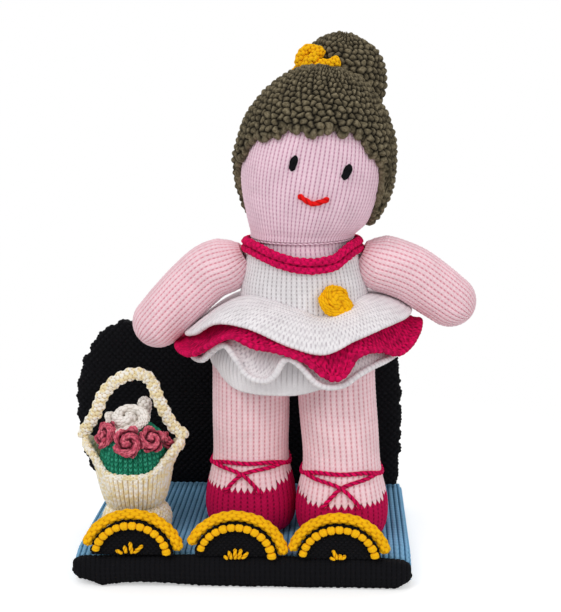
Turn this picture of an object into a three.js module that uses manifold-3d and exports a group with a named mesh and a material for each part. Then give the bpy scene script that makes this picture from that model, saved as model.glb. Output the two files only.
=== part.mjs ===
// Knitted ballerina doll on a knitted stage, with a backdrop, three footlights and a flower basket.
// Millimetres. The origin is the centre of the stage's underside, +Z is up and the doll faces -Y.
// Angles round an upright form are in degrees from its front, positive towards +X.

import * as THREE from 'three';
import { mergeVertices } from 'three/addons/utils/BufferGeometryUtils.js';
import Module from 'manifold-3d';

const wasm = await Module();
wasm.setup();

// Knitted fabric and clearances
const GAP = 0.3; // between pieces that touch
const EASE = 0.8; // between the dress and the body
const SKIN = 2; // knitted skin of a stuffed form
const CLOTH = 2.1; // knitted cloth of the dress

// Stage
const STAGE_WIDTH = 215;
const STAGE_DEPTH = 144;
const STAGE_HEIGHT = 21;
const STAGE_EDGE_ROUND = 6; // padded side edges of the floor cover
const COVER_WALL = 2.5;
const PANEL_THICKNESS = 2;
const BAND_DEPTH = 12; // front band, front to back
const BAND_DROOP = 2.2; // how far the band's lower edge wanders

// Backdrop
const BACKDROP_HEIGHT = 125;
const BACKDROP_THICKNESS = 24;
const BACKDROP_LEFT = 128; // reach to each side of the stage's middle
const BACKDROP_RIGHT = 108;
const BACKDROP_EDGE = 7; // how far its two faces draw in at the edge

// Footlights
const LIGHT_RADIUS = 31.5;
const LIGHT_PITCH = 64.5; // middle to middle
const LIGHT_SHIFT = -2.4; // middle light from the stage's middle
const LIGHT_PAD = 8; // thickness of the padded half disc
const LIGHT_LEAN = 6; // degrees back
const RIM_YARN = 3.1; // radius of the rim's roll
const RIM_END = 17; // degrees above the base where the rim ends
const BEAD_YARN = 2.1; // radius of the bead row
const BEAD_END = 7;
const BEADS = 12;
const RAY_YARN = 1.1; // radius of the straight stitches
const RAY_LENGTH = 10;

// Basket
const BASKET_X = -72.5;
const BASKET_Y = -30;
const PEDESTAL_HEIGHT = 21;
const PEDESTAL_RADIUS = 23.5;
const BASKET_HEIGHT = 21.5; // from the pedestal to the brim's low front
const BASKET_BASE_RADIUS = 18.5;
const BASKET_MOUTH_RADIUS = 25;
const BASKET_WALL = 2.4;
const WING_RISE = 21; // the brim's side wings above its front
const WING_FLARE = 9;
const WING_FOOT = 2; // above the brim's front, where the wings begin to spread
const HANDLE_RISE = 46; // handle's top above its hinge line
const HANDLE_WIDTH = 8.6; // across the strip, as seen from the front
const HANDLE_THICKNESS = 4;
const FOLIAGE_HEIGHT = 31; // foliage above the basket's front
const PINK_ROSE_RADIUS = 8.2;
const WHITE_ROSE_RADIUS = 12.5;
const BUD_RADIUS = 4.6;
const BUD_HEIGHT = 15; // above the foliage
const BUD_X = 6;
const PETAL_THICKNESS = 2.4;
const PETAL_GAP = 0.8; // between the turns of a rolled strip

// Legs and shoes: the leg's middle at the ankle and at the hip
const FEET = [
  { name: 'left', x: 3.2, y: -13, hipX: 4.4, hipY: -17 },
  { name: 'right', x: 63.8, y: -25, hipX: 60.3, hipY: -20 },
];
const LEG_RADIUS = 25;
const LEG_LENGTH = 106; // floor to the end inside the torso's hollow
const SHOE_HALF_WIDTH = 30;
const SHOE_HALF_LENGTH = 28.5;
const SHOE_FORWARD = 4.5; // shoe's middle ahead of the leg
const SHOE_FRONT_HEIGHT = 34; // top of the shoe at the instep
const SHOE_BACK_HEIGHT = 47; // top of the shoe at the heel
const RIBBON_HEIGHT = 51; // ankle ribbon above the floor
const RIBBON_YARN = 1.3;
const LACE_CROSSING = 41; // where the laces cross, above the floor

// Torso
const HIP_X = 33.5;
const TORSO_X = 39.6;
const TORSO_Y = -19;
const HIP_HEIGHT = 96; // underside of the torso above the floor
const TORSO_HEIGHT = 94; // underside to the middle of the neck's ball
const HIP_HALF_WIDTH = 52;
const WAIST_HALF_WIDTH = 37.6;
const CHEST_HALF_WIDTH = 33.6;
const TORSO_HALF_DEPTH = 31;
const NECK_X = 38.8;
const NECK_BALL = 31.8;
const NECK_RISE = 6; // neck crease above the ball's middle
const NECK_MOUTH = 20; // opening of the torso's skin above the ball's middle

// Dress
const COLLAR_HEIGHT = 8.4;
const COLLAR_THICKNESS = 3.4;
const TIER_STEP = 3.6; // from one tier's seam to the next
const TIER_GAP = 1.1; // upright air between two tiers
const TOP_REACH = [72, 54]; // half width and half depth at the hem
const MIDDLE_REACH = [79, 57];
const BOTTOM_REACH = [70, 53];
const PETTICOAT_REACH = [57, 41.5];
const PETTICOAT_HEM = 103; // above the floor, at the front
const SKIRT_X = 35.5;
const ROSETTE_RADIUS = 11;
const ROSETTE_HEIGHT = 161.5; // middle above the floor
const ROSETTE_TURN = 32;
const ROSETTE_THICKNESS = 5;

// Head
const HEAD_LEAN = 10; // degrees towards +X
const HEAD_LENGTH = 100.5; // neck crease to crown
const HEAD_HALF_WIDTH = 45;
const HEAD_ROUNDNESS = 0.94; // depth over width
const HAIR_THICKNESS = 5.6;
const BUN_RADIUS = 24.5;
const BUN_PLACE = [9.4, 25, 103.5]; // across, back and up from the neck crease, along the head's lean
const BAND_YARN = 4.2;
const BOW_LINE = [[-27, -13, 6], [-21, -17, 13], [-14, -20, 8], [-8, -22, 10], [-2, -24, -1]]; // from the bun's middle
const FACE_TURN = 5.5; // middle of the face
const EYE_SPREAD = 20.6; // degrees to each side of the face's middle
const EYE_HEIGHT = 48; // above the neck crease, along the head
const EYE_LENGTH = 9.5;
const EYE_WIDTH = 4.4;
const EYE_THICKNESS = 1.5;
const MOUTH_HEIGHT = 25.4;
const MOUTH_SPREAD = 12; // degrees to each side
const MOUTH_RISE = 3.8;
const STITCH_YARN = 1.3;
const THREAD_YARN = 0.7;

// Arms: shoulder's place, then the arm's middle line outwards and down from it
const SHOULDER_BALL = 9;
const SHOULDER_PLAY = 0.5; // round the ball, which turns
const ARM_RADIUS = 18.2;
const ARM_RAISE = 38; // degrees, with a little to spare
const ARMS = [
  {
    name: 'left',
    side: -1,
    x: 1,
    z: HIP_HEIGHT + TORSO_HEIGHT - 7.6,
    line: [[-1, 1], [8.5, -4], [21, -8.7], [33, -18.7], [44.5, -30.2], [56, -42.2]],
  },
  {
    name: 'right',
    side: 1,
    x: 77.2,
    z: HIP_HEIGHT + TORSO_HEIGHT - 6.8,
    line: [[-1, 1], [8, -3.5], [19.3, -7], [31.3, -12], [45.8, -22], [55.3, -29]],
  },
];

const rad = THREE.MathUtils.degToRad;
const mix = THREE.MathUtils.lerp;

// Solids

function manifoldOf(geometry) {
  const bare = geometry.clone();
  bare.deleteAttribute('normal');
  bare.deleteAttribute('uv');
  const merged = mergeVertices(bare, 1e-4);
  return new wasm.Manifold(
    new wasm.Mesh({
      numProp: 3,
      vertProperties: Float32Array.from(merged.attributes.position.array),
      triVerts: Uint32Array.from(merged.index.array),
    })
  );
}

function geometryOf(solid) {
  const { vertProperties, triVerts } = solid.getMesh();
  const geometry = new THREE.BufferGeometry();
  geometry.setAttribute('position', new THREE.BufferAttribute(Float32Array.from(vertProperties), 3));
  geometry.setIndex(new THREE.BufferAttribute(Uint32Array.from(triVerts), 1));
  geometry.computeVertexNormals();
  return geometry;
}

const join = (...solids) => solids.reduce((whole, next) => whole.add(next));
const cut = (solid, ...cutters) => cutters.reduce((whole, next) => whole.subtract(next), solid);
const common = (a, b) => a.intersect(b);

// A body from its points and faces, with the faces turned outwards.
function body(positions, index) {
  const at = (i) => new THREE.Vector3().fromArray(positions, 3 * i);
  let volume = 0;
  for (let i = 0; i < index.length; i += 3) {
    volume += at(index[i]).dot(at(index[i + 1]).cross(at(index[i + 2])));
  }
  const geometry = new THREE.BufferGeometry();
  geometry.setAttribute('position', new THREE.Float32BufferAttribute(positions, 3));
  geometry.setIndex(volume < 0 ? [...index].reverse() : index);
  return manifoldOf(geometry);
}

// A closed form from a stack of rings, each end closed by the middle of its ring.
function loft(rings) {
  const sides = rings[0].length;
  const positions = [];
  const index = [];
  const middle = (ring) => ring.reduce((sum, p) => sum.add(p), new THREE.Vector3()).divideScalar(sides);
  const points = [...rings.flat(), middle(rings[0]), middle(rings[rings.length - 1])];
  points.forEach((p) => positions.push(p.x, p.y, p.z));
  const foot = rings.length * sides;
  const last = foot - sides;
  for (let i = 0; i < sides; i++) {
    const next = (i + 1) % sides;
    for (let r = 0; r + 1 < rings.length; r++) {
      const a = r * sides + i;
      const b = r * sides + next;
      index.push(a, b, b + sides, a, b + sides, a + sides);
    }
    index.push(foot, next, i, foot + 1, last + i, last + next);
  }
  return body(positions, index);
}

// A closed hoop from outlines set round a loop.
function hoop(outlines) {
  const points = outlines[0].length;
  const positions = [];
  const index = [];
  outlines.flat().forEach((p) => positions.push(p.x, p.y, p.z));
  for (let k = 0; k < outlines.length; k++) {
    const here = k * points;
    const there = ((k + 1) % outlines.length) * points;
    for (let i = 0; i < points; i++) {
      const next = (i + 1) % points;
      index.push(here + i, here + next, there + next, here + i, there + next, there + i);
    }
  }
  return body(positions, index);
}

function ball(radius, [x, y, z], sides) {
  const geometry = new THREE.SphereGeometry(radius, sides, sides / 2);
  geometry.rotateX(Math.PI / 2);
  geometry.translate(x, y, z);
  return manifoldOf(geometry);
}

// A ball whose flat facets stay outside its radius, to cut the seat of a ball that turns.
const ballSeat = (radius, centre, sides) => ball(radius / Math.cos(Math.PI / sides) ** 2, centre, sides);

function block(low, high) {
  const geometry = new THREE.BoxGeometry(high[0] - low[0], high[1] - low[1], high[2] - low[2]);
  geometry.translate((high[0] + low[0]) / 2, (high[1] + low[1]) / 2, (high[2] + low[2]) / 2);
  return manifoldOf(geometry);
}

// A front outline of [x, z] points, extruded from one depth to another.
function frontExtrusion(outline, front, back) {
  const shape = new THREE.Shape(outline.map(([x, z]) => new THREE.Vector2(x, z)));
  const geometry = new THREE.ExtrudeGeometry(shape, { depth: back - front, bevelEnabled: false });
  geometry.rotateX(Math.PI / 2);
  geometry.translate(0, back, 0);
  return manifoldOf(geometry);
}

// A roll or strip along points. sizeAt gives its half width and its half depth, which lies along up.
function roll(points, up, steps, sides, sizeAt) {
  const path = new THREE.CatmullRomCurve3(points.map((p) => new THREE.Vector3(...p)));
  const upright = new THREE.Vector3(...up);
  const rings = [];
  for (let k = 0; k <= steps; k++) {
    const share = k / steps;
    const centre = path.getPointAt(share);
    const ahead = path.getTangentAt(share);
    const depth = upright.clone().addScaledVector(ahead, -upright.dot(ahead)).normalize();
    const across = new THREE.Vector3().crossVectors(ahead, depth);
    const [halfWidth, halfDepth] = sizeAt(share);
    const ring = [];
    for (let i = 0; i < sides; i++) {
      const turn = (2 * Math.PI * (i + 0.5)) / sides;
      ring.push(
        centre
          .clone()
          .addScaledVector(across, halfWidth * Math.cos(turn))
          .addScaledVector(depth, halfDepth * Math.sin(turn))
      );
    }
    rings.push(ring);
  }
  return loft(rings);
}

// Smooth values between the rows of a table, whose first column is the place along it.
function along(table, place) {
  const last = table.length - 1;
  const at = THREE.MathUtils.clamp(place, table[0][0], table[last][0]);
  let i = 0;
  while (i < last - 1 && table[i + 1][0] < at) i++;
  const before = table[Math.max(i - 1, 0)];
  const low = table[i];
  const high = table[i + 1];
  const after = table[Math.min(i + 2, last)];
  const span = high[0] - low[0];
  const s = (at - low[0]) / span;
  return low.slice(1).map((value, k) => {
    const next = high[k + 1];
    const slopeIn = ((next - before[k + 1]) / (high[0] - before[0])) * span;
    const slopeOut = ((after[k + 1] - value) / (after[0] - low[0])) * span;
    const rise = s * s * (3 - 2 * s);
    return mix(value, next, rise) + s * (1 - s) * ((1 - s) * slopeIn - s * slopeOut);
  });
}

// The same round a full turn, for a table of [angle, value] from -180 to 180.
function around(table, angle) {
  const wrapped = [-360, 0, 360].flatMap((turn) => table.map(([place, value]) => [place + turn, value]));
  return along(wrapped, ((((angle + 180) % 360) + 360) % 360) - 180)[0];
}

const turns = (count) => Array.from({ length: count }, (_, i) => (360 * i) / count - 180);

// A point at an angle round an ellipse whose axis leans towards +X.
function ellipsePoint([x, y, z], lean, halfWidth, halfDepth, angle) {
  const across = halfWidth * Math.sin(rad(angle));
  return new THREE.Vector3(
    x + across * Math.cos(rad(lean)),
    y - halfDepth * Math.cos(rad(angle)),
    z - across * Math.sin(rad(lean))
  );
}

const ellipseRing = (centre, lean, halfWidth, halfDepth, sides) =>
  turns(sides).map((angle) => ellipsePoint(centre, lean, halfWidth, halfDepth, angle));

// Stage

const halfStage = STAGE_WIDTH / 2;
const stageBack = STAGE_DEPTH / 2;
const bandBack = -stageBack + BAND_DEPTH;
const coverFoot = PANEL_THICKNESS + GAP;
const floorTop = STAGE_HEIGHT;

function roundedTop(halfWidth, low, high, round) {
  const steps = 5;
  const outline = [[-halfWidth, low]];
  for (const side of [-1, 1]) {
    for (let i = 0; i <= steps; i++) {
      const turn = rad((side < 0 ? 180 : 90) - (90 * i) / steps);
      outline.push([
        side * (halfWidth - round) + round * Math.cos(turn),
        high - round + round * Math.sin(turn),
      ]);
    }
  }
  outline.push([halfWidth, low]);
  return outline;
}

function stageCover() {
  const front = bandBack + GAP;
  const innerRound = STAGE_EDGE_ROUND - COVER_WALL;
  const outer = roundedTop(halfStage, coverFoot, floorTop, STAGE_EDGE_ROUND);
  const inner = roundedTop(halfStage - COVER_WALL, coverFoot - 1, floorTop - COVER_WALL, innerRound);
  const hollow = frontExtrusion(inner, front - 1, stageBack - COVER_WALL);
  return cut(frontExtrusion(outer, front, stageBack), hollow);
}

function stageCore() {
  const inset = COVER_WALL + GAP;
  const outline = roundedTop(halfStage - inset, coverFoot, floorTop - inset, STAGE_EDGE_ROUND - COVER_WALL);
  return frontExtrusion(outline, bandBack + GAP, stageBack - inset);
}

function stageUnderside() {
  const edge = COVER_WALL / 2;
  return block([-halfStage + edge, bandBack + GAP, 0], [halfStage - edge, stageBack - edge, PANEL_THICKNESS]);
}

// The front band is a padded roll that sags a little and has a knob near its left end.
function frontBand() {
  const stations = 20;
  const sides = 10;
  const squared = (value) => Math.sign(value) * Math.abs(value) ** 0.62;
  const rings = [];
  for (let i = 0; i <= stations; i++) {
    const share = i / stations;
    const toEnd = Math.min(share, 1 - share) * stations;
    const end = Math.min(1, 0.45 + 0.55 * toEnd);
    const knob = Math.exp(-(((share - 0.05) / 0.05) ** 2));
    const top = floorTop - 0.5 + 0.5 * Math.cos(14 * share);
    const foot = GAP + BAND_DROOP * (0.5 + 0.5 * Math.cos(9.1 * share + 0.6));
    const halfHeight = ((top - foot) / 2) * (0.7 + 0.3 * end);
    const halfDepth = (BAND_DEPTH / 2) * end;
    rings.push(
      turns(sides).map(
        (angle) =>
          new THREE.Vector3(
            mix(-halfStage, halfStage, share),
            bandBack - BAND_DEPTH / 2 - knob - halfDepth * squared(Math.cos(rad(angle))),
            (top + foot) / 2 + halfHeight * squared(Math.sin(rad(angle)))
          )
      )
    );
  }
  return loft(rings);
}

// Backdrop, a stuffed panel sewn along its foot to the rear of the floor

function backdropForm(inset, foot) {
  const left = BACKDROP_LEFT - inset;
  const right = BACKDROP_RIGHT - inset;
  const top = BACKDROP_HEIGHT - inset;
  const outline = new THREE.CatmullRomCurve3(
    [
      [-0.82 * left, 0],
      [-0.935 * left, 0.09],
      [-left, 0.46],
      [-0.985 * left, 0.64],
      [-0.92 * left, 0.82],
      [-0.81 * left, 0.955],
      [-0.62 * left, 1],
      [0, 0.99],
      [0.66 * right, 1],
      [0.86 * right, 0.94],
      [0.96 * right, 0.8],
      [right, 0.38],
      [0.975 * right, 0],
    ].map(([x, height]) => new THREE.Vector3(x, 0, height * top)),
    false,
    'catmullrom',
    0.4
  ).getPoints(24);
  const middle = new THREE.Vector3(0, 0, BACKDROP_HEIGHT / 2);
  const half = BACKDROP_THICKNESS / 2 - inset;
  return loft(
    [-1, -0.75, 0.75, 1].map((share) => {
      const drawnIn = BACKDROP_EDGE * (1 - Math.sqrt(1 - share * share));
      return outline.map((p, i) => {
        const q = p.clone().add(middle.clone().sub(p).setLength(drawnIn));
        const atFoot = i === 0 || i === outline.length - 1;
        return new THREE.Vector3(q.x, stageBack - BACKDROP_THICKNESS / 2 + half * share, atFoot ? foot : q.z);
      });
    })
  );
}

// Footlights, made once about the middle of their base

const beadCircle = LIGHT_RADIUS - 2 * RIM_YARN - GAP - BEAD_YARN - 1;

const padRadius = LIGHT_RADIUS - 2 * RIM_YARN - 1.5 * GAP;
const padFront = -LIGHT_PAD / 2;

// The padded half disc, whose flat front is as wide as the bead row.
function lightPad() {
  const levels = [
    [-0.5, (beadCircle + BEAD_YARN) / padRadius],
    [-0.3, 1],
    [0.35, 1],
    [0.5, 0.9],
  ];
  return loft(
    levels.map(([depth, scale]) => {
      const steps = 12;
      return Array.from({ length: steps + 1 }, (_, i) => {
        const turn = Math.PI * (1 - i / steps);
        const out = padRadius * scale;
        return new THREE.Vector3(out * Math.cos(turn), depth * LIGHT_PAD, out * Math.abs(Math.sin(turn)));
      });
    })
  );
}

// A roll bent into an arch, from an angle above the base to the same angle on the other side.
function arch(radius, y, end, steps, sides, sizeAt) {
  const points = Array.from({ length: steps + 1 }, (_, i) => {
    const turn = rad(mix(180 - end, end, i / steps));
    return [radius * Math.cos(turn), y, radius * Math.sin(turn)];
  });
  return roll(points, [0, 1, 0], steps, sides, sizeAt);
}

const lightRim = () => arch(LIGHT_RADIUS - RIM_YARN, 0, RIM_END, 16, 6, () => [RIM_YARN, RIM_YARN * 1.15]);

function lightBeads() {
  const steps = 2 * BEADS;
  return arch(beadCircle, padFront - GAP - BEAD_YARN, BEAD_END, steps, 4, (share) => {
    const size = BEAD_YARN * (Math.round(share * steps) % 2 ? 1 : 0.6);
    return [size, size];
  });
}

function lightRays() {
  const start = [0, padFront - GAP - RAY_YARN, RAY_YARN * 2];
  const rays = [-52, -18, 16, 50].map((angle) => {
    const end = [
      RAY_LENGTH * Math.sin(rad(angle)),
      start[1],
      start[2] + RAY_LENGTH * Math.cos(rad(angle)),
    ];
    return roll([start, end], [0, 1, 0], 1, 4, () => [RAY_YARN, RAY_YARN]);
  });
  return join(...rays);
}

// Basket, in its own frame on the floor

const basketFoot = PEDESTAL_HEIGHT + GAP;
const wing = (angle) => Math.abs(Math.sin(rad(angle))) ** 6;
const hingeHeight = basketFoot + BASKET_HEIGHT + WING_RISE + HANDLE_THICKNESS / 2 + GAP;

function pedestal() {
  const rows = [
    [0, 0.86],
    [0.14, 0.98],
    [0.42, 1],
    [0.7, 0.93],
    [0.9, 0.8],
    [1, 0.62],
  ];
  return loft(
    rows.map(([height, scale]) => {
      const radius = PEDESTAL_RADIUS * scale;
      return ellipseRing([0, 0, height * PEDESTAL_HEIGHT], 0, radius, radius, 16);
    })
  );
}

function basketBody() {
  const sides = 24;
  const ringAt = (share, wall) =>
    turns(sides).map((angle) => {
      const rim = BASKET_HEIGHT + WING_RISE * wing(angle);
      const height = Math.max(wall > 0 ? BASKET_WALL : 0, share * rim);
      const low = Math.min(1, height / BASKET_HEIGHT);
      const spread = (height - BASKET_HEIGHT - WING_FOOT) / (WING_RISE - WING_FOOT);
      const flare = WING_FLARE * wing(angle) * Math.max(0, spread);
      const radius = mix(BASKET_BASE_RADIUS, BASKET_MOUTH_RADIUS, low ** 0.6) + flare - wall;
      return ellipsePoint([0, 0, basketFoot + height], 0, radius, radius, angle);
    });
  const outside = [0, 0.3, 0.65, 1].map((share) => ringAt(share, 0));
  const inside = [1, 0.65, 0.3, 0.1].map((share) => ringAt(share, BASKET_WALL));
  return loft([...outside, ...inside]);
}

// Share of the basket's inner radius by level up the foliage, which fills the brim
const brimLevel = BASKET_HEIGHT / (BASKET_HEIGHT + FOLIAGE_HEIGHT);
const foliageRows = [
  [0.15, 0.62],
  [0.25, 0.82],
  [brimLevel, 0.99],
  [0.7, 0.97],
  [0.88, 0.82],
  [1, 0.5],
];

function foliage(grow = 0) {
  const radius = BASKET_MOUTH_RADIUS - BASKET_WALL - GAP;
  const height = BASKET_HEIGHT + FOLIAGE_HEIGHT;
  return loft(
    foliageRows.map(([level, scale]) => {
      const out = radius * scale + grow;
      const rise = basketFoot + height * level + (level > 0.5 ? grow : 0);
      return ellipseRing([0, 0, rise], 0, out, out, 16);
    })
  );
}

// A strip of petals rolled into a rose, lying on its base and open upwards.
function rose(radius, depth) {
  const pitch = PETAL_THICKNESS + PETAL_GAP;
  const start = PETAL_THICKNESS * 0.6;
  const rounds = (radius - PETAL_THICKNESS / 2 - start) / pitch;
  const steps = Math.round(rounds * 8);
  const points = [];
  for (let i = 0; i <= steps; i++) {
    const turn = (2 * Math.PI * rounds * i) / steps;
    const out = start + (pitch * turn) / (2 * Math.PI);
    points.push([out * Math.cos(turn), out * Math.sin(turn), depth * 0.62]);
  }
  const corner = Math.SQRT2; // a strip of four sides reaches its half sizes at its corners
  return roll(points, [0, 0, 1], steps, 4, (share) => {
    const frill = 1 + 0.12 * Math.cos(9 * share * rounds);
    return [(PETAL_THICKNESS / 2) * corner, (depth / 2) * corner * frill * mix(1, 0.8, share)];
  });
}

// Places a solid made on its base at a point, with its top facing a direction.
function facing(solid, point, direction) {
  const turn = new THREE.Quaternion().setFromUnitVectors(
    new THREE.Vector3(0, 0, 1),
    new THREE.Vector3(...direction).normalize()
  );
  const geometry = geometryOf(solid);
  geometry.applyQuaternion(turn);
  geometry.translate(...point);
  return manifoldOf(geometry);
}

// Angle, level up the foliage and size of each pink rose
const PINK_ROSES = [
  { angle: -56, level: 0.88, size: 1 },
  { angle: 2, level: 0.82, size: 1 },
  { angle: 46, level: 0.88, size: 1 },
  { angle: 90, level: 0.74, size: 0.7 },
];

function pinkRose({ angle, level, size }) {
  const radius = BASKET_MOUTH_RADIUS - BASKET_WALL - GAP;
  const height = basketFoot + (BASKET_HEIGHT + FOLIAGE_HEIGHT) * level;
  const out = radius * along(foliageRows, level)[0] - 1.5;
  const away = [Math.sin(rad(angle)), -Math.cos(rad(angle)), 0.6];
  const place = [out * away[0], out * away[1], height];
  const flower = rose(PINK_ROSE_RADIUS * size, PINK_ROSE_RADIUS * 0.9);
  return cut(facing(flower, place, away), foliage(GAP));
}

function whiteRose() {
  const top = basketFoot + BASKET_HEIGHT + FOLIAGE_HEIGHT + GAP;
  const flower = rose(WHITE_ROSE_RADIUS, WHITE_ROSE_RADIUS * 0.62);
  return cut(facing(flower, [-2.5, 0, top + 0.5], [-0.1, -0.35, 1]), foliage(GAP), ...PINK_ROSES.map(pinkRose));
}

// The bud stands on a short stalk behind the white rose.
function whiteBud() {
  const top = basketFoot + BASKET_HEIGHT + FOLIAGE_HEIGHT;
  const line = [-2 * BUD_RADIUS, BUD_HEIGHT].map((rise) => [BUD_X, WHITE_ROSE_RADIUS - 1, top + rise]);
  const bud = roll(line, [0, 1, 0], 6, 8, (share) => {
    const size = BUD_RADIUS * (share === 1 ? 0.5 : mix(0.5, 1, THREE.MathUtils.smoothstep(share, 0.2, 0.7)));
    return [size, size];
  });
  return cut(bud, whiteRose(), foliage(GAP));
}

function handle() {
  const reach = BASKET_MOUTH_RADIUS + WING_FLARE * 0.92;
  const top = HANDLE_RISE - HANDLE_WIDTH / 2;
  const points = [
    [-reach, 0, 0],
    [-0.88 * reach, 0, 0.17 * top],
    [-0.71 * reach, 0, 0.39 * top],
    [-0.58 * reach, 0, 0.64 * top],
    [-0.32 * reach, 0, 0.87 * top],
    [0.08 * reach, 0, top],
    [0.35 * reach, 0, 0.92 * top],
    [0.5 * reach, 0, 0.64 * top],
    [0.63 * reach, 0, 0.4 * top],
    [0.8 * reach, 0, 0.15 * top],
    [reach, 0, 0],
  ];
  const half = HANDLE_THICKNESS / 2;
  const foot = -half * 0.75;
  const ends = [[-reach, 0, foot], ...points, [reach, 0, foot]];
  return roll(ends, [0, 1, 0], 24, 6, (share) => {
    const edge = share === 0 || share === 1;
    return [(HANDLE_WIDTH / 2) * (edge ? 0.8 : 1), half * (edge ? 0.5 : 1)];
  });
}

// Doll, in a frame that stands on the floor

const neck = [NECK_X, TORSO_Y, HIP_HEIGHT + TORSO_HEIGHT];

// Height above the torso's underside by share, half width, half depth and middle
const torsoRows = [
  [0, HIP_HALF_WIDTH * 0.83, TORSO_HALF_DEPTH * 0.82, HIP_X],
  [0.05, HIP_HALF_WIDTH * 0.95, TORSO_HALF_DEPTH * 1, HIP_X],
  [0.13, HIP_HALF_WIDTH, TORSO_HALF_DEPTH * 1.12, HIP_X],
  [0.26, HIP_HALF_WIDTH * 0.97, TORSO_HALF_DEPTH * 1.12, mix(HIP_X, TORSO_X, 0.2)],
  [0.43, mix(HIP_HALF_WIDTH, WAIST_HALF_WIDTH, 0.5), TORSO_HALF_DEPTH * 1.05, mix(HIP_X, TORSO_X, 0.6)],
  [0.6, WAIST_HALF_WIDTH * 1.03, TORSO_HALF_DEPTH, TORSO_X],
  [0.75, WAIST_HALF_WIDTH * 0.99, TORSO_HALF_DEPTH * 0.98, TORSO_X],
  [0.89, CHEST_HALF_WIDTH * 1.01, TORSO_HALF_DEPTH * 0.99, mix(TORSO_X, NECK_X, 0.3)],
  [1, NECK_BALL, NECK_BALL, NECK_X],
  ...[18, 36, 55, 76].map((rise) => [
    1 + (NECK_BALL * Math.sin(rad(rise))) / TORSO_HEIGHT,
    NECK_BALL * Math.cos(rad(rise)),
    NECK_BALL * Math.cos(rad(rise)),
    NECK_X,
  ]),
];

// Ellipse of the torso at a height above the floor: half width, half depth and middle.
const torsoAt = (height) => along(torsoRows, (height - HIP_HEIGHT) / TORSO_HEIGHT);

function torsoPoint(angle, height, grow) {
  const [halfWidth, halfDepth, x] = torsoAt(height);
  return ellipsePoint([x, TORSO_Y, height], 0, halfWidth + grow, halfDepth + grow, angle);
}

// The torso with its neck's ball.
function torsoForm(grow, sides = 18) {
  return loft(
    torsoRows.map(([share, halfWidth, halfDepth, x], i) => {
      const edge = share > 1 ? 1 - (share - 1) * 0.4 : 1;
      const lift = i === 0 ? -grow : share > 1 ? grow * (share - 1) * 3 : 0;
      const height = HIP_HEIGHT + share * TORSO_HEIGHT + lift;
      return ellipseRing([x, TORSO_Y, height], 0, halfWidth + grow * edge, halfDepth + grow * edge, sides);
    })
  );
}

const shoulder = (arm) => [arm.x, TORSO_Y - 1, arm.z];
const shoulderSeats = (grow) =>
  ARMS.map((arm) => ballSeat(SHOULDER_BALL + SHOULDER_PLAY + grow, shoulder(arm), 12));

function torsoSkin() {
  const hollow = cut(torsoForm(-SKIN), ...shoulderSeats(SKIN));
  const far = 3 * HIP_HALF_WIDTH;
  const mouth = block([-far, -far, neck[2] + NECK_MOUTH], [far, far, neck[2] + 2 * NECK_BALL]);
  return cut(torsoForm(0), ...shoulderSeats(0), hollow, mouth);
}

function torsoFilling() {
  return cut(torsoForm(-2 * SKIN, 12), ...shoulderSeats(SKIN + GAP));
}

// Legs

// Half width, half depth and forward place of a leg by its share of the way up
const legRows = [
  [0, SHOE_HALF_WIDTH * 0.72, SHOE_HALF_LENGTH * 0.74, 1],
  [0.04, SHOE_HALF_WIDTH * 0.9, SHOE_HALF_LENGTH * 0.91, 1],
  [0.12, SHOE_HALF_WIDTH * 0.99, SHOE_HALF_LENGTH, 1],
  [0.21, SHOE_HALF_WIDTH, SHOE_HALF_LENGTH, 0.95],
  [0.3, SHOE_HALF_WIDTH * 0.95, SHOE_HALF_LENGTH * 0.97, 0.7],
  [0.4, LEG_RADIUS * 1.04, LEG_RADIUS * 1.05, 0.3],
  [0.5, LEG_RADIUS, LEG_RADIUS, 0],
  [0.72, LEG_RADIUS * 1.01, LEG_RADIUS * 1.01, 0],
  [0.88, LEG_RADIUS * 1.01, LEG_RADIUS * 1.02, 0],
  [1, LEG_RADIUS, LEG_RADIUS, 0],
];

function legPoint(foot, angle, height, grow) {
  const share = height / LEG_LENGTH;
  const [halfWidth, halfDepth, forward] = along(legRows, share);
  const toHip = THREE.MathUtils.smoothstep(share, 0.4, 1);
  const centre = [
    mix(foot.x, foot.hipX, toHip),
    mix(foot.y, foot.hipY, toHip) - SHOE_FORWARD * forward,
    height,
  ];
  return ellipsePoint(centre, 0, halfWidth + grow, halfDepth + grow, angle);
}

function legForm(foot, grow, sole, shares, sides = 16) {
  return loft(
    shares.map((share, i) =>
      turns(sides).map((angle) => {
        const point = legPoint(foot, angle, share * LEG_LENGTH, grow);
        if (i === 0) point.z = sole;
        return point;
      })
    )
  );
}

const skinShares = [0, 0.05, 0.13, 0.24, 0.33, 0.42, 0.52, 0.8, 1];
const fillingShares = [0, 0.12, 0.28, 0.42, 0.7, 1];

// The half space above the slanting top of a shoe.
function aboveShoe(foot, lift) {
  const toe = foot.y - SHOE_FORWARD - SHOE_HALF_LENGTH;
  const slope = Math.atan2(SHOE_BACK_HEIGHT - SHOE_FRONT_HEIGHT, 2 * SHOE_HALF_LENGTH);
  const size = 4 * LEG_LENGTH;
  const geometry = new THREE.BoxGeometry(size, size, size);
  geometry.translate(0, 0, size / 2);
  geometry.rotateX(slope);
  geometry.translate(foot.x, toe, SHOE_FRONT_HEIGHT + lift);
  return manifoldOf(geometry);
}

function sock(foot) {
  return cut(legForm(foot, 0, 0, skinShares), legForm(foot, -SKIN, SKIN, skinShares));
}

const legSkin = (foot) => cut(common(sock(foot), aboveShoe(foot, GAP)), torsoForm(GAP));
const shoe = (foot) => cut(sock(foot), aboveShoe(foot, 0));
const legFilling = (foot) => cut(legForm(foot, -2 * SKIN, 2 * SKIN, fillingShares, 10), torsoForm(GAP));

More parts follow.
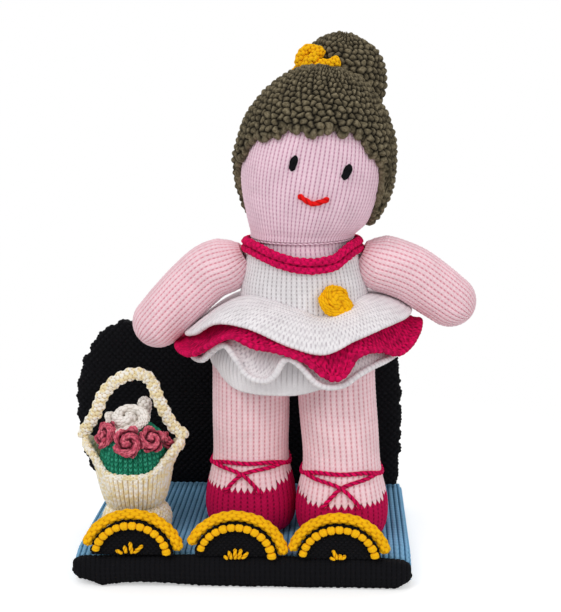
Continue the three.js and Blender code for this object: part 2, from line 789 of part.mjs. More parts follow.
function ankleRibbon(foot) {
  const out = RIBBON_YARN + 2 * GAP;
  const ringHeight = (angle) => RIBBON_HEIGHT - 1.5 * Math.cos(rad(angle));
  const loop = hoop(
    turns(16).map((angle) => {
      const centre = legPoint(foot, angle, ringHeight(angle), out);
      const away = new THREE.Vector3(Math.sin(rad(angle)), -Math.cos(rad(angle)), 0);
      return turns(4).map((turn) =>
        centre
          .clone()
          .addScaledVector(away, RIBBON_YARN * Math.cos(rad(turn)))
          .add(new THREE.Vector3(0, 0, RIBBON_YARN * Math.sin(rad(turn))))
      );
    })
  );
  const laces = [-1, 1].map((side) => {
    const places = [
      [-58, ringHeight(-58)],
      [-36, mix(RIBBON_HEIGHT, LACE_CROSSING, 0.45)],
      [0, LACE_CROSSING],
      [14, mix(LACE_CROSSING, SHOE_FRONT_HEIGHT, 0.6)],
      [24, SHOE_FRONT_HEIGHT],
    ];
    const points = places.map(([angle, height]) => legPoint(foot, side * angle, height, out).toArray());
    return roll(points, [0, 1, 0], 8, 4, () => [RIBBON_YARN, RIBBON_YARN]);
  });
  return join(loop, ...laces);
}

// Dress

// Heights above the floor by angle
const COLLAR_LINE = [
  [-180, 189],
  [-135, 190.5],
  [-90, 191],
  [-62, 191.5],
  [-47, 190],
  [-33, 187.5],
  [-20, 185],
  [-2, 182.3],
  [15, 181.8],
  [33, 183.4],
  [47, 187.5],
  [62, 190.5],
  [90, 190.8],
  [135, 190.5],
];
const SEAM_LINE = [
  [-180, 157],
  [-90, 158.5],
  [-48, 161],
  [-25, 158.5],
  [0, 153.5],
  [15, 149.5],
  [35, 152.5],
  [60, 158],
  [90, 158],
  [135, 157.5],
];
const TOP_HEM = [
  [-180, 139],
  [-150, 145],
  [-120, 137],
  [-90, 133.5],
  [-62, 138],
  [-42, 148],
  [-22, 147],
  [0, 136],
  [15, 132],
  [30, 139],
  [50, 145],
  [75, 147.5],
  [90, 148.5],
  [120, 141],
  [150, 147],
];
const MIDDLE_HEM = [
  [-180, 131],
  [-150, 138],
  [-120, 129],
  [-90, 127],
  [-70, 125],
  [-55, 126],
  [-42, 134],
  [-30, 141],
  [-18, 136],
  [-5, 133],
  [5, 127.5],
  [15, 117],
  [22, 117.5],
  [29, 129],
  [40, 131.5],
  [55, 127],
  [75, 135],
  [90, 141],
  [120, 134],
  [150, 140],
];
const BOTTOM_HEM = [
  [-180, 122],
  [-150, 130],
  [-120, 121],
  [-90, 123.5],
  [-70, 121],
  [-57, 122],
  [-48, 129],
  [-38, 134],
  [-31, 126],
  [-25, 117],
  [-15, 114],
  [-10, 118],
  [-5, 127.5],
  [1, 126],
  [12, 112],
  [24, 110.5],
  [33, 116],
  [42, 120],
  [55, 123],
  [68, 126],
  [90, 130.5],
  [120, 126],
  [150, 132],
];

// How a tier falls from its seam to its hem, by share of its reach. The left arm presses the top one down.
const underLeftArm = (angle) => Math.exp(-(((angle + 88) / 34) ** 2));
const fallTop = (share, angle) => share ** mix(2.3, 1.35, underLeftArm(angle));
const fallUnder = (share) => (share * share * (3 - 2 * share)) ** 1.15;

// The lower of two heights, with a soft corner.
function softMin(a, b, corner = 2) {
  const blend = THREE.MathUtils.clamp(0.5 + (b - a) / (2 * corner), 0, 1);
  return mix(b, a, blend) - corner * blend * (1 - blend);
}

function tierReach(tier, angle) {
  const [halfWidth, halfDepth] = tier.reach;
  const hem = ellipsePoint([SKIRT_X, TORSO_Y, 0], 0, halfWidth, halfDepth, angle);
  const seam = torsoPoint(angle, seamHeight(tier, angle), 3 * EASE);
  seam.z = 0;
  return { seam, hem, distance: seam.distanceTo(hem) };
}

const seamHeight = (tier, angle) =>
  around(SEAM_LINE, angle) - 2.5 * underLeftArm(angle) - tier.layer * TIER_STEP;

// Middle of a tier's cloth at a distance out from its seam, always under the tier above it.
function tierHeight(tier, angle, distance) {
  const share = Math.min(1, distance / tierReach(tier, angle).distance);
  const seam = seamHeight(tier, angle);
  const own = mix(seam, around(tier.hem, angle), tier.fall(share, angle));
  if (!tier.above) return own;
  const limit = tierHeight(tier.above, angle, distance) - CLOTH - TIER_GAP;
  return softMin(own, limit);
}

const topTier = { layer: 0, reach: TOP_REACH, hem: TOP_HEM, fall: fallTop };
const middleTier = { layer: 1, reach: MIDDLE_REACH, hem: MIDDLE_HEM, fall: fallUnder, above: topTier };
const bottomTier = { layer: 2, reach: BOTTOM_REACH, hem: BOTTOM_HEM, fall: fallUnder, above: middleTier };

function skirtTier(tier, sides = 42) {
  const shares = [0, 0.45, 0.78, 1];
  return hoop(
    turns(sides).map((angle) => {
      const { seam, hem, distance } = tierReach(tier, angle);
      const middle = shares.map((share) => {
        const point = seam.clone().lerp(hem, share);
        point.z = tierHeight(tier, angle, distance * share);
        return point;
      });
      const up = new THREE.Vector3(0, 0, CLOTH / 2);
      return [...middle.map((p) => p.clone().add(up)), ...middle.reverse().map((p) => p.clone().sub(up))];
    })
  );
}

// The petticoat hangs over the hips under the lowest tier.
function petticoat() {
  const shares = [0, 0.5, 1];
  return hoop(
    turns(30).map((angle) => {
      const top = seamHeight(bottomTier, angle) - TIER_STEP - CLOTH / 2;
      const hem = PETTICOAT_HEM + 6 * (1 - Math.cos(rad(angle))) / 2 + 1.6 * Math.cos(rad(5 * angle));
      const side = (grow) =>
        shares.map((share) => {
          const height = mix(top, hem, share);
          const onBody = torsoPoint(angle, height, 2 * EASE + grow);
          const [halfWidth, halfDepth] = PETTICOAT_REACH;
          const flared = ellipsePoint(
            [HIP_X, TORSO_Y, height], 0, halfWidth - CLOTH + grow, halfDepth - CLOTH + grow, angle
          );
          return onBody.lerp(flared, THREE.MathUtils.smoothstep(share, 0, 0.9));
        });
      return [...side(CLOTH), ...side(0).reverse()];
    })
  );
}

function bodice() {
  const shares = [0, 0.33, 0.67, 1];
  const sheet = hoop(
    turns(24).map((angle) => {
      const foot = seamHeight(topTier, angle) + CLOTH / 2 + 2 * GAP;
      const top = around(COLLAR_LINE, angle) - COLLAR_HEIGHT / 4;
      const side = (grow) => shares.map((share) => torsoPoint(angle, mix(foot, top, share), EASE + grow));
      return [...side(CLOTH), ...side(0).reverse()];
    })
  );
  return cut(sheet, ...shoulderSeats(0));
}

// The collar's band is narrower over the shoulders and behind.
function collar() {
  const loop = hoop(
    turns(28).map((angle) => {
      const half = (COLLAR_HEIGHT / 2) * (0.88 + 0.12 * Math.cos(rad(angle)));
      const height = around(COLLAR_LINE, angle);
      const at = (out, up) => torsoPoint(angle, height + up, 2 * EASE + CLOTH + out);
      return [
        at(0, -half),
        at(COLLAR_THICKNESS, -half * 0.6),
        at(COLLAR_THICKNESS, half * 0.6),
        at(0, half),
      ];
    })
  );
  return cut(loop, ...shoulderSeats(0));
}

function waistRosette() {
  const place = torsoPoint(ROSETTE_TURN, ROSETTE_HEIGHT, 2 * EASE + CLOTH);
  const away = [Math.sin(rad(ROSETTE_TURN)), -Math.cos(rad(ROSETTE_TURN)), 0.12];
  return cut(facing(rose(ROSETTE_RADIUS, ROSETTE_THICKNESS), place.toArray(), away), skirtTier(topTier));
}

// Head, still in the doll's frame

const crease = [neck[0], neck[1], neck[2] + NECK_RISE];
const lipWidth = (NECK_BALL + 1.2) / HEAD_HALF_WIDTH;

// Share of the half width and of the lean, by share of the way up the head
const headRows = [
  [0, lipWidth, 0],
  [0.03, lipWidth * 1.015, 0.15],
  [0.07, 0.79, 0.4],
  [0.12, 0.845, 0.7],
  [0.2, 0.922, 0.95],
  [0.3, 0.982, 1],
  [0.4, 1, 1],
  [0.5, 0.993, 1],
  [0.6, 0.955, 1],
  [0.7, 0.878, 1],
  [0.79, 0.752, 1],
  [0.87, 0.595, 1],
  [0.935, 0.42, 1],
  [0.975, 0.25, 1],
  [1, 0.07, 1],
];

function headPoint(angle, share, grow) {
  const [width, lean] = along(headRows, share);
  const length = share * HEAD_LENGTH + grow * THREE.MathUtils.smoothstep(share, 0.35, 1);
  const centre = [
    crease[0] + length * Math.sin(rad(HEAD_LEAN)),
    crease[1],
    crease[2] + length * Math.cos(rad(HEAD_LEAN)),
  ];
  const halfWidth = HEAD_HALF_WIDTH * width;
  const round = mix(1, HEAD_ROUNDNESS, THREE.MathUtils.smoothstep(share, 0, 0.3));
  return ellipsePoint(centre, HEAD_LEAN * lean, halfWidth + grow, halfWidth * round + grow, angle);
}

function headForm(grow, sides = 20, shares = [0, 0.06, 0.15, 0.28, 0.42, 0.56, 0.7, 0.82, 0.92, 1]) {
  return loft(shares.map((share) => turns(sides).map((angle) => headPoint(angle, share, grow))));
}

const neckSeat = (grow) => ballSeat(NECK_BALL + GAP + grow, neck, 20);

const headSkin = () => cut(headForm(0), headForm(-SKIN), neckSeat(0));
const headFilling = () => cut(headForm(-2 * SKIN, 12, [0, 0.15, 0.4, 0.65, 0.85, 1]), neckSeat(SKIN));

// Edge of the hair by angle, as height above the neck crease along the head
const HAIR_EDGE = [
  [-180, 16],
  [-150, 15],
  [-125, 13],
  [-109, 10],
  [-100, 14],
  [-93, 29],
  [-86, 39],
  [-75, 43],
  [-66, 47],
  [-57, 58],
  [-46, 58.5],
  [-34, 62],
  [-25, 66.5],
  [-10, 66.5],
  [-1, 66],
  [6, 70.5],
  [18, 69],
  [30, 71],
  [41, 64],
  [49, 58.5],
  [59, 56],
  [65, 46],
  [70, 30],
  [76, 19],
  [90, 16],
  [125, 15],
];

function hairForm(grow) {
  const ringAt = (share, out) =>
    turns(36).map((angle) => {
      const edge = around(HAIR_EDGE, angle) / HEAD_LENGTH;
      return headPoint(angle, mix(edge, 1, share), out);
    });
  const outside = [0, 0.3, 0.6, 0.82, 0.95, 1].map((share) => ringAt(share, GAP + HAIR_THICKNESS + grow));
  return loft([ringAt(0, -2 * HAIR_THICKNESS), ...outside]);
}

const hair = () => cut(hairForm(0), headForm(GAP));

// A point given across, back and up from the neck crease along the head's lean.
function onHead([across, back, up]) {
  const cos = Math.cos(rad(HEAD_LEAN));
  const sin = Math.sin(rad(HEAD_LEAN));
  return [crease[0] + across * cos + up * sin, crease[1] + back, crease[2] - across * sin + up * cos];
}

function bunForm(grow) {
  const centre = onHead(BUN_PLACE);
  const sides = 14;
  const rows = 7;
  const rings = Array.from({ length: rows }, (_, i) => {
    const tilt = (Math.PI * (i + 0.25)) / (rows - 0.5);
    return turns(sides).map((angle) => {
      const knob = 1 + 0.03 * Math.cos(rad(4 * angle) + 2 * i);
      const radius = BUN_RADIUS * knob + grow;
      return new THREE.Vector3(
        centre[0] + radius * Math.sin(tilt) * Math.sin(rad(angle)),
        centre[1] - radius * Math.sin(tilt) * Math.cos(rad(angle)),
        centre[2] - radius * 1.04 * Math.cos(tilt)
      );
    });
  });
  return loft(rings);
}

const bun = () => cut(bunForm(0), hairForm(GAP));

// A twisted strip round the bun's base, with a bow of two loops at its front.
function bunBand() {
  const centre = new THREE.Vector3(...onHead(BUN_PLACE));
  const root = new THREE.Vector3(...onHead([BUN_PLACE[0] * 0.5, BUN_PLACE[1] * 0.45, BUN_PLACE[2] * 0.6]));
  const away = centre.clone().sub(root).normalize();
  const side = new THREE.Vector3(1, 0, 0).addScaledVector(away, -away.x).normalize();
  const front = new THREE.Vector3().crossVectors(side, away);
  const middle = centre.clone().addScaledVector(away, -0.42 * BUN_RADIUS);
  const radius = BUN_RADIUS * 0.95;
  const loop = hoop(
    turns(16).map((angle) => {
      const out = side.clone().multiplyScalar(Math.sin(rad(angle))).addScaledVector(front, Math.cos(rad(angle)));
      const twist = 1 + 0.16 * Math.cos(rad(6 * angle));
      return turns(6).map((turn) =>
        middle
          .clone()
          .addScaledVector(out, radius + BAND_YARN * twist * Math.cos(rad(turn)))
          .addScaledVector(away, BAND_YARN * twist * Math.sin(rad(turn)))
      );
    })
  );
  const bow = roll(
    BOW_LINE.map(([across, back, up]) => [centre.x + across, centre.y + back, centre.z + up]),
    [0, 1, 0],
    7,
    5,
    (share) => {
      const size = BAND_YARN * (1.15 + 0.2 * Math.cos(14 * share));
      return [size, size];
    }
  );
  return cut(join(loop, bow), hairForm(GAP), bunForm(GAP));
}

function eye(side) {
  const angle = FACE_TURN + side * EYE_SPREAD;
  const point = headPoint(angle, EYE_HEIGHT / HEAD_LENGTH, GAP);
  const geometry = new THREE.SphereGeometry(1, 8, 6);
  geometry.scale(EYE_WIDTH / 2, EYE_THICKNESS, EYE_LENGTH / 2);
  geometry.rotateZ(rad(angle));
  geometry.rotateY(rad(HEAD_LEAN));
  geometry.translate(...point.toArray());
  return cut(manifoldOf(geometry), headForm(GAP));
}

function mouth() {
  const points = [-1, -0.5, 0, 0.5, 1].map((share) => {
    const height = MOUTH_HEIGHT + MOUTH_RISE * Math.abs(share) ** 1.3;
    return headPoint(FACE_TURN + share * MOUTH_SPREAD, height / HEAD_LENGTH, GAP + 0.5).toArray();
  });
  const line = roll(points, [0, 1, 0], 6, 5, (share) => {
    const size = STITCH_YARN * (share === 0 || share === 1 ? 0.6 : 1);
    return [size, size];
  });
  return cut(line, headForm(GAP));
}

// The thread that gathers the neck lies on the ball, just under the head's lower edge.
function neckThread() {
  const rise = NECK_RISE - THREAD_YARN - GAP;
  const reach = NECK_BALL + GAP + THREAD_YARN;
  const radius = Math.sqrt(reach * reach - rise * rise);
  return hoop(
    turns(20).map((angle) =>
      turns(4).map((turn) => {
        const out = radius + THREAD_YARN * Math.cos(rad(turn));
        return ellipsePoint([neck[0], neck[1], neck[2] + rise + THREAD_YARN * Math.sin(rad(turn))], 0, out, out, angle);
      })
    )
  );
}

// Arms

const armSizes = [
  [0, 0.5],
  [0.07, 0.78],
  [0.18, 0.97],
  [0.4, 1],
  [0.8, 0.97],
  [1, 0.92],
];

function armForm(arm, grow, sides, steps) {
  const [x, y, z] = shoulder(arm);
  const path = new THREE.CatmullRomCurve3(
    arm.line.map(([out, up]) => new THREE.Vector3(x + arm.side * out, y, z + up))
  );
  const rings = [];
  const ringAt = (centre, ahead, radius) => {
    const across = new THREE.Vector3(ahead.z, 0, -ahead.x);
    return turns(sides).map((angle) =>
      centre
        .clone()
        .addScaledVector(across, radius * Math.sin(rad(angle)))
        .add(new THREE.Vector3(0, -0.96 * radius * Math.cos(rad(angle)), 0))
    );
  };
  for (let k = 0; k <= steps; k++) {
    const share = k / steps;
    const size = ARM_RADIUS * along(armSizes, share)[0] + grow;
    rings.push(ringAt(path.getPointAt(share), path.getTangentAt(share), size));
  }
  const handRadius = ARM_RADIUS * armSizes[armSizes.length - 1][1] + grow;
  const ahead = path.getTangentAt(1);
  for (const tilt of [30, 60, 84]) {
    const centre = path.getPointAt(1).addScaledVector(ahead, handRadius * Math.sin(rad(tilt)));
    rings.push(ringAt(centre, ahead, handRadius * Math.cos(rad(tilt))));
  }
  return loft(rings);
}

// The part of the arm that would meet the torso when it lifts: everything above the
// shoulder and nearer the body than a line that leans out by the arm's raise.
function liftRoom(arm, grow) {
  const size = 6 * ARM_RADIUS;
  const geometry = new THREE.BoxGeometry(size, size, size);
  geometry.translate(-arm.side * (size / 2 - grow), 0, size / 2);
  geometry.rotateY(arm.side * rad(ARM_RAISE + 2));
  geometry.translate(...shoulder(arm));
  return manifoldOf(geometry);
}

// The arm ends in a ball that sits in the torso's side.
function armOuter(arm, grow, sides, steps) {
  const root = ball(SHOULDER_BALL + grow, shoulder(arm), 12);
  const clothed = torsoForm(3 * EASE + CLOTH - grow);
  return join(cut(armForm(arm, grow, sides, steps), liftRoom(arm, -grow), clothed), root);
}

// The skin is open where the ball faces the torso.
function armSkin(arm) {
  const [x, y, z] = shoulder(arm);
  const mouth = ball(SHOULDER_BALL / 2, [x - arm.side * SHOULDER_BALL, y, z], 8);
  return cut(armOuter(arm, 0, 12, 6), armOuter(arm, -SKIN, 12, 6), mouth);
}

const armFilling = (arm) => armOuter(arm, -1.6 * SKIN, 8, 5);

// Scene

const PINK = '#f3c3cb';
const WHITE = '#f4f0ec';
const BLACK = '#16161a';
const BLUE = '#4f8fb4';
const GOLD = '#f4ab10';
const CREAM = '#efe0b4';
const GREEN = '#1f7d5f';
const ROSE_PINK = '#c05a6c';
const CRIMSON = '#b30b3f';
const RED = '#d01818';
const BROWN = '#5a5240';
const WADDING = '#eeeae2';

function piece(name, solid, color, origin = [0, 0, 0]) {
  const geometry = geometryOf(solid);
  geometry.translate(-origin[0], -origin[1], -origin[2]);
  const material = new THREE.MeshStandardMaterial({ color, roughness: 0.95, metalness: 0 });
  const mesh = new THREE.Mesh(geometry, material);
  mesh.name = name;
  return mesh;
}

function group(place, ...children) {
  const made = new THREE.Group();
  made.position.set(...place);
  made.add(...children);
  return made;
}

const stage = group(
  [0, 0, 0],
  piece('stage_underside', stageUnderside(), BLACK),
  piece('stage_core', stageCore(), WADDING),
  piece('stage_cover', stageCover(), BLUE),
  piece('front_band', frontBand(), BLACK)
);

const backdrop = group(
  [0, 0, floorTop + GAP],
  piece('backdrop_skin', cut(backdropForm(0, 0), backdropForm(SKIN, -1)), BLACK),
  piece('backdrop_filling', backdropForm(SKIN + GAP, 0), WADDING)
);

const lightY = bandBack - LIGHT_PAD * 0.8;
const lights = [-1, 0, 1].map((place) => {
  const number = place + 2;
  const light = group(
    [
      LIGHT_SHIFT + place * LIGHT_PITCH,
      lightY,
      floorTop + GAP + (LIGHT_PAD / 2) * Math.sin(rad(LIGHT_LEAN)),
    ],
    piece(`light_${number}_pad`, lightPad(), BLACK),
    piece(`light_${number}_rim`, lightRim(), GOLD),
    piece(`light_${number}_beads`, lightBeads(), GOLD),
    piece(`light_${number}_rays`, lightRays(), GOLD)
  );
  light.rotation.x = -rad(LIGHT_LEAN);
  return light;
});

const basket = group(
  [BASKET_X, BASKET_Y, floorTop + GAP],
  piece('basket_pedestal', pedestal(), CREAM),
  piece('basket_body', basketBody(), CREAM),
  piece('basket_foliage', foliage(), GREEN),
  ...PINK_ROSES.map((place, i) => piece(`pink_rose_${i + 1}`, pinkRose(place), ROSE_PINK)),
  piece('white_rose', whiteRose(), WHITE),
  piece('white_bud', whiteBud(), WHITE),
  group([0, 0, hingeHeight], piece('basket_handle', handle(), CREAM))
);

const legs = FEET.flatMap((foot) => [
  piece(`leg_${foot.name}_skin`, legSkin(foot), PINK),
  piece(`leg_${foot.name}_filling`, legFilling(foot), WADDING),
  piece(`shoe_${foot.name}`, shoe(foot), CRIMSON),
  piece(`ankle_ribbon_${foot.name}`, ankleRibbon(foot), CRIMSON),
]);

const arms = ARMS.map((arm) =>
  group(
    shoulder(arm),
    piece(`arm_${arm.name}_skin`, armSkin(arm), PINK, shoulder(arm)),
    piece(`arm_${arm.name}_filling`, armFilling(arm), WADDING, shoulder(arm))
  )
);

const head = group(
  neck,
  piece('head_skin', headSkin(), PINK, neck),
  piece('head_filling', headFilling(), WADDING, neck),
  piece('hair', hair(), BROWN, neck),
  piece('hair_bun', bun(), BROWN, neck),
  piece('bun_band', bunBand(), GOLD, neck),
  piece('eye_left', eye(-1), BLACK, neck),
  piece('eye_right', eye(1), BLACK, neck),
  piece('mouth', mouth(), RED, neck)
);

const doll = group(
  [0, 0, floorTop + GAP],
  ...legs,
  piece('torso_skin', torsoSkin(), PINK),
  piece('torso_filling', torsoFilling(), WADDING),
  piece('bodice', bodice(), WHITE),
  piece('collar', collar(), CRIMSON),
  piece('skirt_top_tier', skirtTier(topTier), WHITE),
  piece('skirt_middle_tier', skirtTier(middleTier), CRIMSON),
  piece('skirt_bottom_tier', skirtTier(bottomTier), WHITE),
  piece('petticoat', petticoat(), WHITE),
  piece('waist_rosette', waistRosette(), GOLD),
  group(neck, piece('neck_thread', neckThread(), PINK, neck)),
  head,
  ...arms
);

export default group([0, 0, 0], stage, backdrop, ...lights, basket, doll);
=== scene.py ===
import bpy
import numpy as np
from mathutils import Matrix, Vector


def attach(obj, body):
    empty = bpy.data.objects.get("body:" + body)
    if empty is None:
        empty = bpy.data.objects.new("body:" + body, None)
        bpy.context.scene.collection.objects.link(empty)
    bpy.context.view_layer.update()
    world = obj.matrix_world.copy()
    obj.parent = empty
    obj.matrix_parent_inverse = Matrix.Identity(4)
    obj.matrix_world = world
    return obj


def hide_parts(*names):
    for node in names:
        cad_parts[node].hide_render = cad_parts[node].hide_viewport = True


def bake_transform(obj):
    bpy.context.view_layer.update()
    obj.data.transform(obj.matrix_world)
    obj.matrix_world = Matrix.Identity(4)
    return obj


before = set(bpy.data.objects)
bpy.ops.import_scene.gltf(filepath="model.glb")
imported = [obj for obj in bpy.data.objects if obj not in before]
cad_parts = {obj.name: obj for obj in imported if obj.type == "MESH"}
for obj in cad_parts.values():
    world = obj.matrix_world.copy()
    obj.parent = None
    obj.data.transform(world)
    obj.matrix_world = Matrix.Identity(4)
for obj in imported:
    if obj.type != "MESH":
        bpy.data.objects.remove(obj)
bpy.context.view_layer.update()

MM = 0.001

# Camera
CAMERA_PLACE = (65.57, -732.98, 313.83)
CAMERA_YAW = 3.30  # degrees to the left of straight ahead
CAMERA_PITCH = 11.25  # degrees down
CAMERA_ROLL = -0.63
CAMERA_LENS = 66.44  # on a sensor of 36 mm along the image's long side

# Light and ground, in metres
AMBIENT_LIGHT = 0.57
GROUND_REACH = 2.5
GROUND_GLOW = 0.42
GROUND_FADE = (0.16, 0.42)  # from the origin

# Knitted fabric
GAP = 0.3  # between sewn pieces
EASE = 0.8  # between the torso and its dress
CLOTH = 2.1  # thickness of the dress's cloth
COURSE = 2.6  # height of one stitch of the torso
FINE = 8  # mesh columns in one stitch
SKIN_SINK = 0.35  # of a skin's mesh below its form, so that its stitches reach it

# Stage
STAGE_HALF_WIDTH = 107.5
STAGE_BACK = 72
STAGE_TOP = 21
STAGE_ROUND = 6
COVER_FOOT = 2.3
BAND_BACK = -60
BAND_DEPTH = 12
BAND_DROOP = 2.2
FLOOR_RIB = 3.6
FLOOR = STAGE_TOP + GAP

# Backdrop
BACKDROP_HEIGHT = 125
BACKDROP_THICKNESS = 24
BACKDROP_LEFT = 128
BACKDROP_RIGHT = 108

# Footlights
LIGHT_RADIUS = 31.5
LIGHT_PITCH = 64.5
LIGHT_SHIFT = -2.4
LIGHT_PAD = 8
LIGHT_LEAN = 6
RIM_YARN = 3.1
RIM_END = 11  # degrees above the base
BEAD_YARN = 2.1
BEADS = 13
BEAD_END = 7  # degrees above the base
RAY_YARN = 1.1

# Basket
BASKET = (-72.5, -30, FLOOR)
PEDESTAL_HEIGHT = 21
PEDESTAL_RADIUS = 23.5
BASKET_HEIGHT = 21.5
BASKET_BASE_RADIUS = 18.5
BASKET_MOUTH_RADIUS = 25
BASKET_WALL = 2.4
WING_RISE = 21
WING_FLARE = 9
WING_FOOT = 2
BRIM_LIFT = 3
HANDLE_RISE = 46
HANDLE_WIDTH = 8.6
HANDLE_THICKNESS = 4
FOLIAGE_HEIGHT = 31

# Doll: legs and shoes
FEET = {
    "left": dict(x=3.2, y=-13, hip_x=4.4, hip_y=-17),
    "right": dict(x=63.8, y=-25, hip_x=60.3, hip_y=-20),
}
LEG_RADIUS = 25
LEG_LENGTH = 106
SHOE_HALF_WIDTH = 30
SHOE_HALF_LENGTH = 28.5
SHOE_FORWARD = 4.5
SHOE_FRONT_HEIGHT = 34
SHOE_BACK_HEIGHT = 47
RIBBON_HEIGHT = 51
RIBBON_YARN = 1.3
LACE_CROSSING = 41

# Torso
HIP_X = 33.5
TORSO_X = 39.6
TORSO_Y = -19
HIP_HEIGHT = 96
TORSO_HEIGHT = 94
HIP_HALF_WIDTH = 52
WAIST_HALF_WIDTH = 37.6
CHEST_HALF_WIDTH = 33.6
TORSO_HALF_DEPTH = 31
NECK_X = 38.8
NECK_BALL = 31.8
NECK_RISE = 6

# Dress
COLLAR_HEIGHT = 8.4
COLLAR_THICKNESS = 3.4
TIER_STEP = 3.6
TIER_GAP = 1.1
TOP_REACH = (72, 54)
MIDDLE_REACH = (79, 57)
BOTTOM_REACH = (70, 53)
PETTICOAT_REACH = (57, 41.5)
SKIRT_X = 35.5
ROSETTE_RADIUS = 11
ROSETTE_HEIGHT = 161.5
ROSETTE_TURN = 32

# Head
HEAD_LEAN = 10
HEAD_LENGTH = 100.5
HEAD_HALF_WIDTH = 45
HEAD_ROUNDNESS = 0.94
HAIR_THICKNESS = 5.6
HAIR_ROW = 8.4  # height of one row of stitches of the hair and bun
BUN_RADIUS = 24.5
BUN_PLACE = (9.4, 25, 103.5)
BAND_YARN = 4.2
FACE_TURN = 5.5
EYE_SPREAD = 20.6
EYE_HEIGHT = 47.4
EYE_LENGTH = 9.5
MOUTH_HEIGHT = 25.4
MOUTH_SPREAD = 12
MOUTH_RISE = 3.8

# Arms
SHOULDER_Y = TORSO_Y - 1
ARM_RADIUS = 18.2
ARMS = {
    "left": dict(
        side=-1, x=1, z=182.4,
        line=[(-1, 1), (8.5, -4), (21, -8.7), (33, -18.7), (44.5, -30.2), (56, -42.2)],
    ),
    "right": dict(
        side=1, x=77.2, z=183.2,
        line=[(-1, 1), (8, -3.5), (19.3, -7), (31.3, -12), (45.8, -22), (55.3, -29)],
    ),
}


# Numbers and curves


def mix(a, b, share):
    return a + (b - a) * share


def smoothstep(value, low, high):
    share = np.clip((value - low) / (high - low), 0, 1)
    return share * share * (3 - 2 * share)


def bell(value, width):
    return np.exp(-((value / width) ** 2))


def unit(vectors):
    return vectors / np.maximum(np.linalg.norm(vectors, axis=-1, keepdims=True), 1e-9)


def sin(degrees):
    return np.sin(np.radians(degrees))


def cos(degrees):
    return np.cos(np.radians(degrees))


def turns(count):
    return np.arange(count) * 360 / count - 180


def steps(count, start=0, end=1):
    """Even places as the rows of a grid."""
    return np.linspace(start, end, count)[:, None]


def xyz(x, y, z):
    return np.stack(np.broadcast_arrays(x, y, z), axis=-1)


def speckle(i, j, seed=0):
    """A fixed value between 0 and 1 for each whole i and j."""
    value = np.sin(i * 12.9898 + j * 78.233 + seed * 37.719) * 43758.5453
    return value - np.floor(value)


def along(table, place):
    """Smooth values between the rows of a table, whose first column is the place along it."""
    rows = np.asarray(table, float)
    keys, values = rows[:, 0], rows[:, 1:]
    last = len(keys) - 1
    at = np.clip(place, keys[0], keys[-1])
    low = np.clip(np.searchsorted(keys, at, side="left") - 1, 0, last - 1)
    before, high, after = np.maximum(low - 1, 0), low + 1, np.minimum(low + 2, last)
    span = (keys[high] - keys[low])[..., None]
    s = (at - keys[low])[..., None] / span
    slope_in = (values[high] - values[before]) / (keys[high] - keys[before])[..., None] * span
    slope_out = (values[after] - values[low]) / (keys[after] - keys[low])[..., None] * span
    rise = s * s * (3 - 2 * s)
    smooth = mix(values[low], values[high], rise)
    return smooth + s * (1 - s) * ((1 - s) * slope_in - s * slope_out)


def around(table, angle):
    """The same round a full turn, for a table of (angle, value) from -180 to 180."""
    rows = [(place + turn, value) for turn in (-360, 0, 360) for place, value in table]
    return along(rows, np.mod(np.asarray(angle) + 180, 360) - 180)[..., 0]


def spline(points, count):
    """Evenly spaced points on a smooth curve through points."""
    p = np.asarray(points, float)
    p = np.vstack([2 * p[0] - p[1], p, 2 * p[-1] - p[-2]])
    fine = []
    for a, b, c, d in zip(p, p[1:], p[2:], p[3:]):
        ab, bc, cd = (np.sqrt(np.linalg.norm(v)) for v in (b - a, c - b, d - c))
        start = ((b - a) / ab - (c - a) / (ab + bc) + (c - b) / bc) * bc
        end = ((c - b) / bc - (d - b) / (bc + cd) + (d - c) / cd) * bc
        t = np.linspace(0, 1, 40)[:, None]
        fine.append(
            (2 * t**3 - 3 * t**2 + 1) * b + (t**3 - 2 * t**2 + t) * start
            + (3 * t**2 - 2 * t**3) * c + (t**3 - t**2) * end
        )
    line = np.vstack([fine[0], *[f[1:] for f in fine[1:]]])
    return evenly(line, count)


def evenly(line, count):
    run = np.concatenate([[0], np.cumsum(np.linalg.norm(np.diff(line, axis=0), axis=1))])
    places = np.linspace(0, run[-1], count)
    return np.stack([np.interp(places, run, line[:, k]) for k in range(3)], axis=1)


def evenly_round(line, count):
    return evenly(np.vstack([line, line[:1]]), count + 1)[:-1]


def length_of(line):
    return float(np.linalg.norm(np.diff(line, axis=0), axis=1).sum())


def ellipse(centre, lean, half_width, half_depth, angle):
    """Points at angles round an ellipse whose axis leans towards +X."""
    x, y, z = centre
    across = half_width * sin(angle)
    return xyz(x + across * cos(lean), y - half_depth * cos(angle), z - across * sin(lean))


# Stitches: heights from 0 in the gaps to 1 on the yarn, by stitches across (s) and up (t)


def wale(angle, count):
    """Stitches across, round a form, whole where its columns meet."""
    return (angle + 180) / 360 * count


def wales(count, fine=FINE):
    """Angle of every mesh column round a form, and its place in stitches."""
    angle = turns(count * fine)[None, :]
    return angle, wale(angle, count)


def stocking(s, t, slant=0.9, rows=0.3):
    """Smooth knitting: columns of V shapes, with a broken groove between columns that the yarn's painted gap
    shade draws as a dark line.
    """
    half = 2 * np.abs(s - np.floor(s) - 0.5)
    strand = np.abs(np.cos(np.pi * (t - slant * half))) ** 0.7
    pinhole = np.abs(np.sin(np.pi * t)) ** 2
    groove = 1 - 0.14 * bell(half, 0.2)
    return (1 - rows + rows * strand) * (1 - (0.4 + 0.5 * pinhole) * half**2.2) * groove


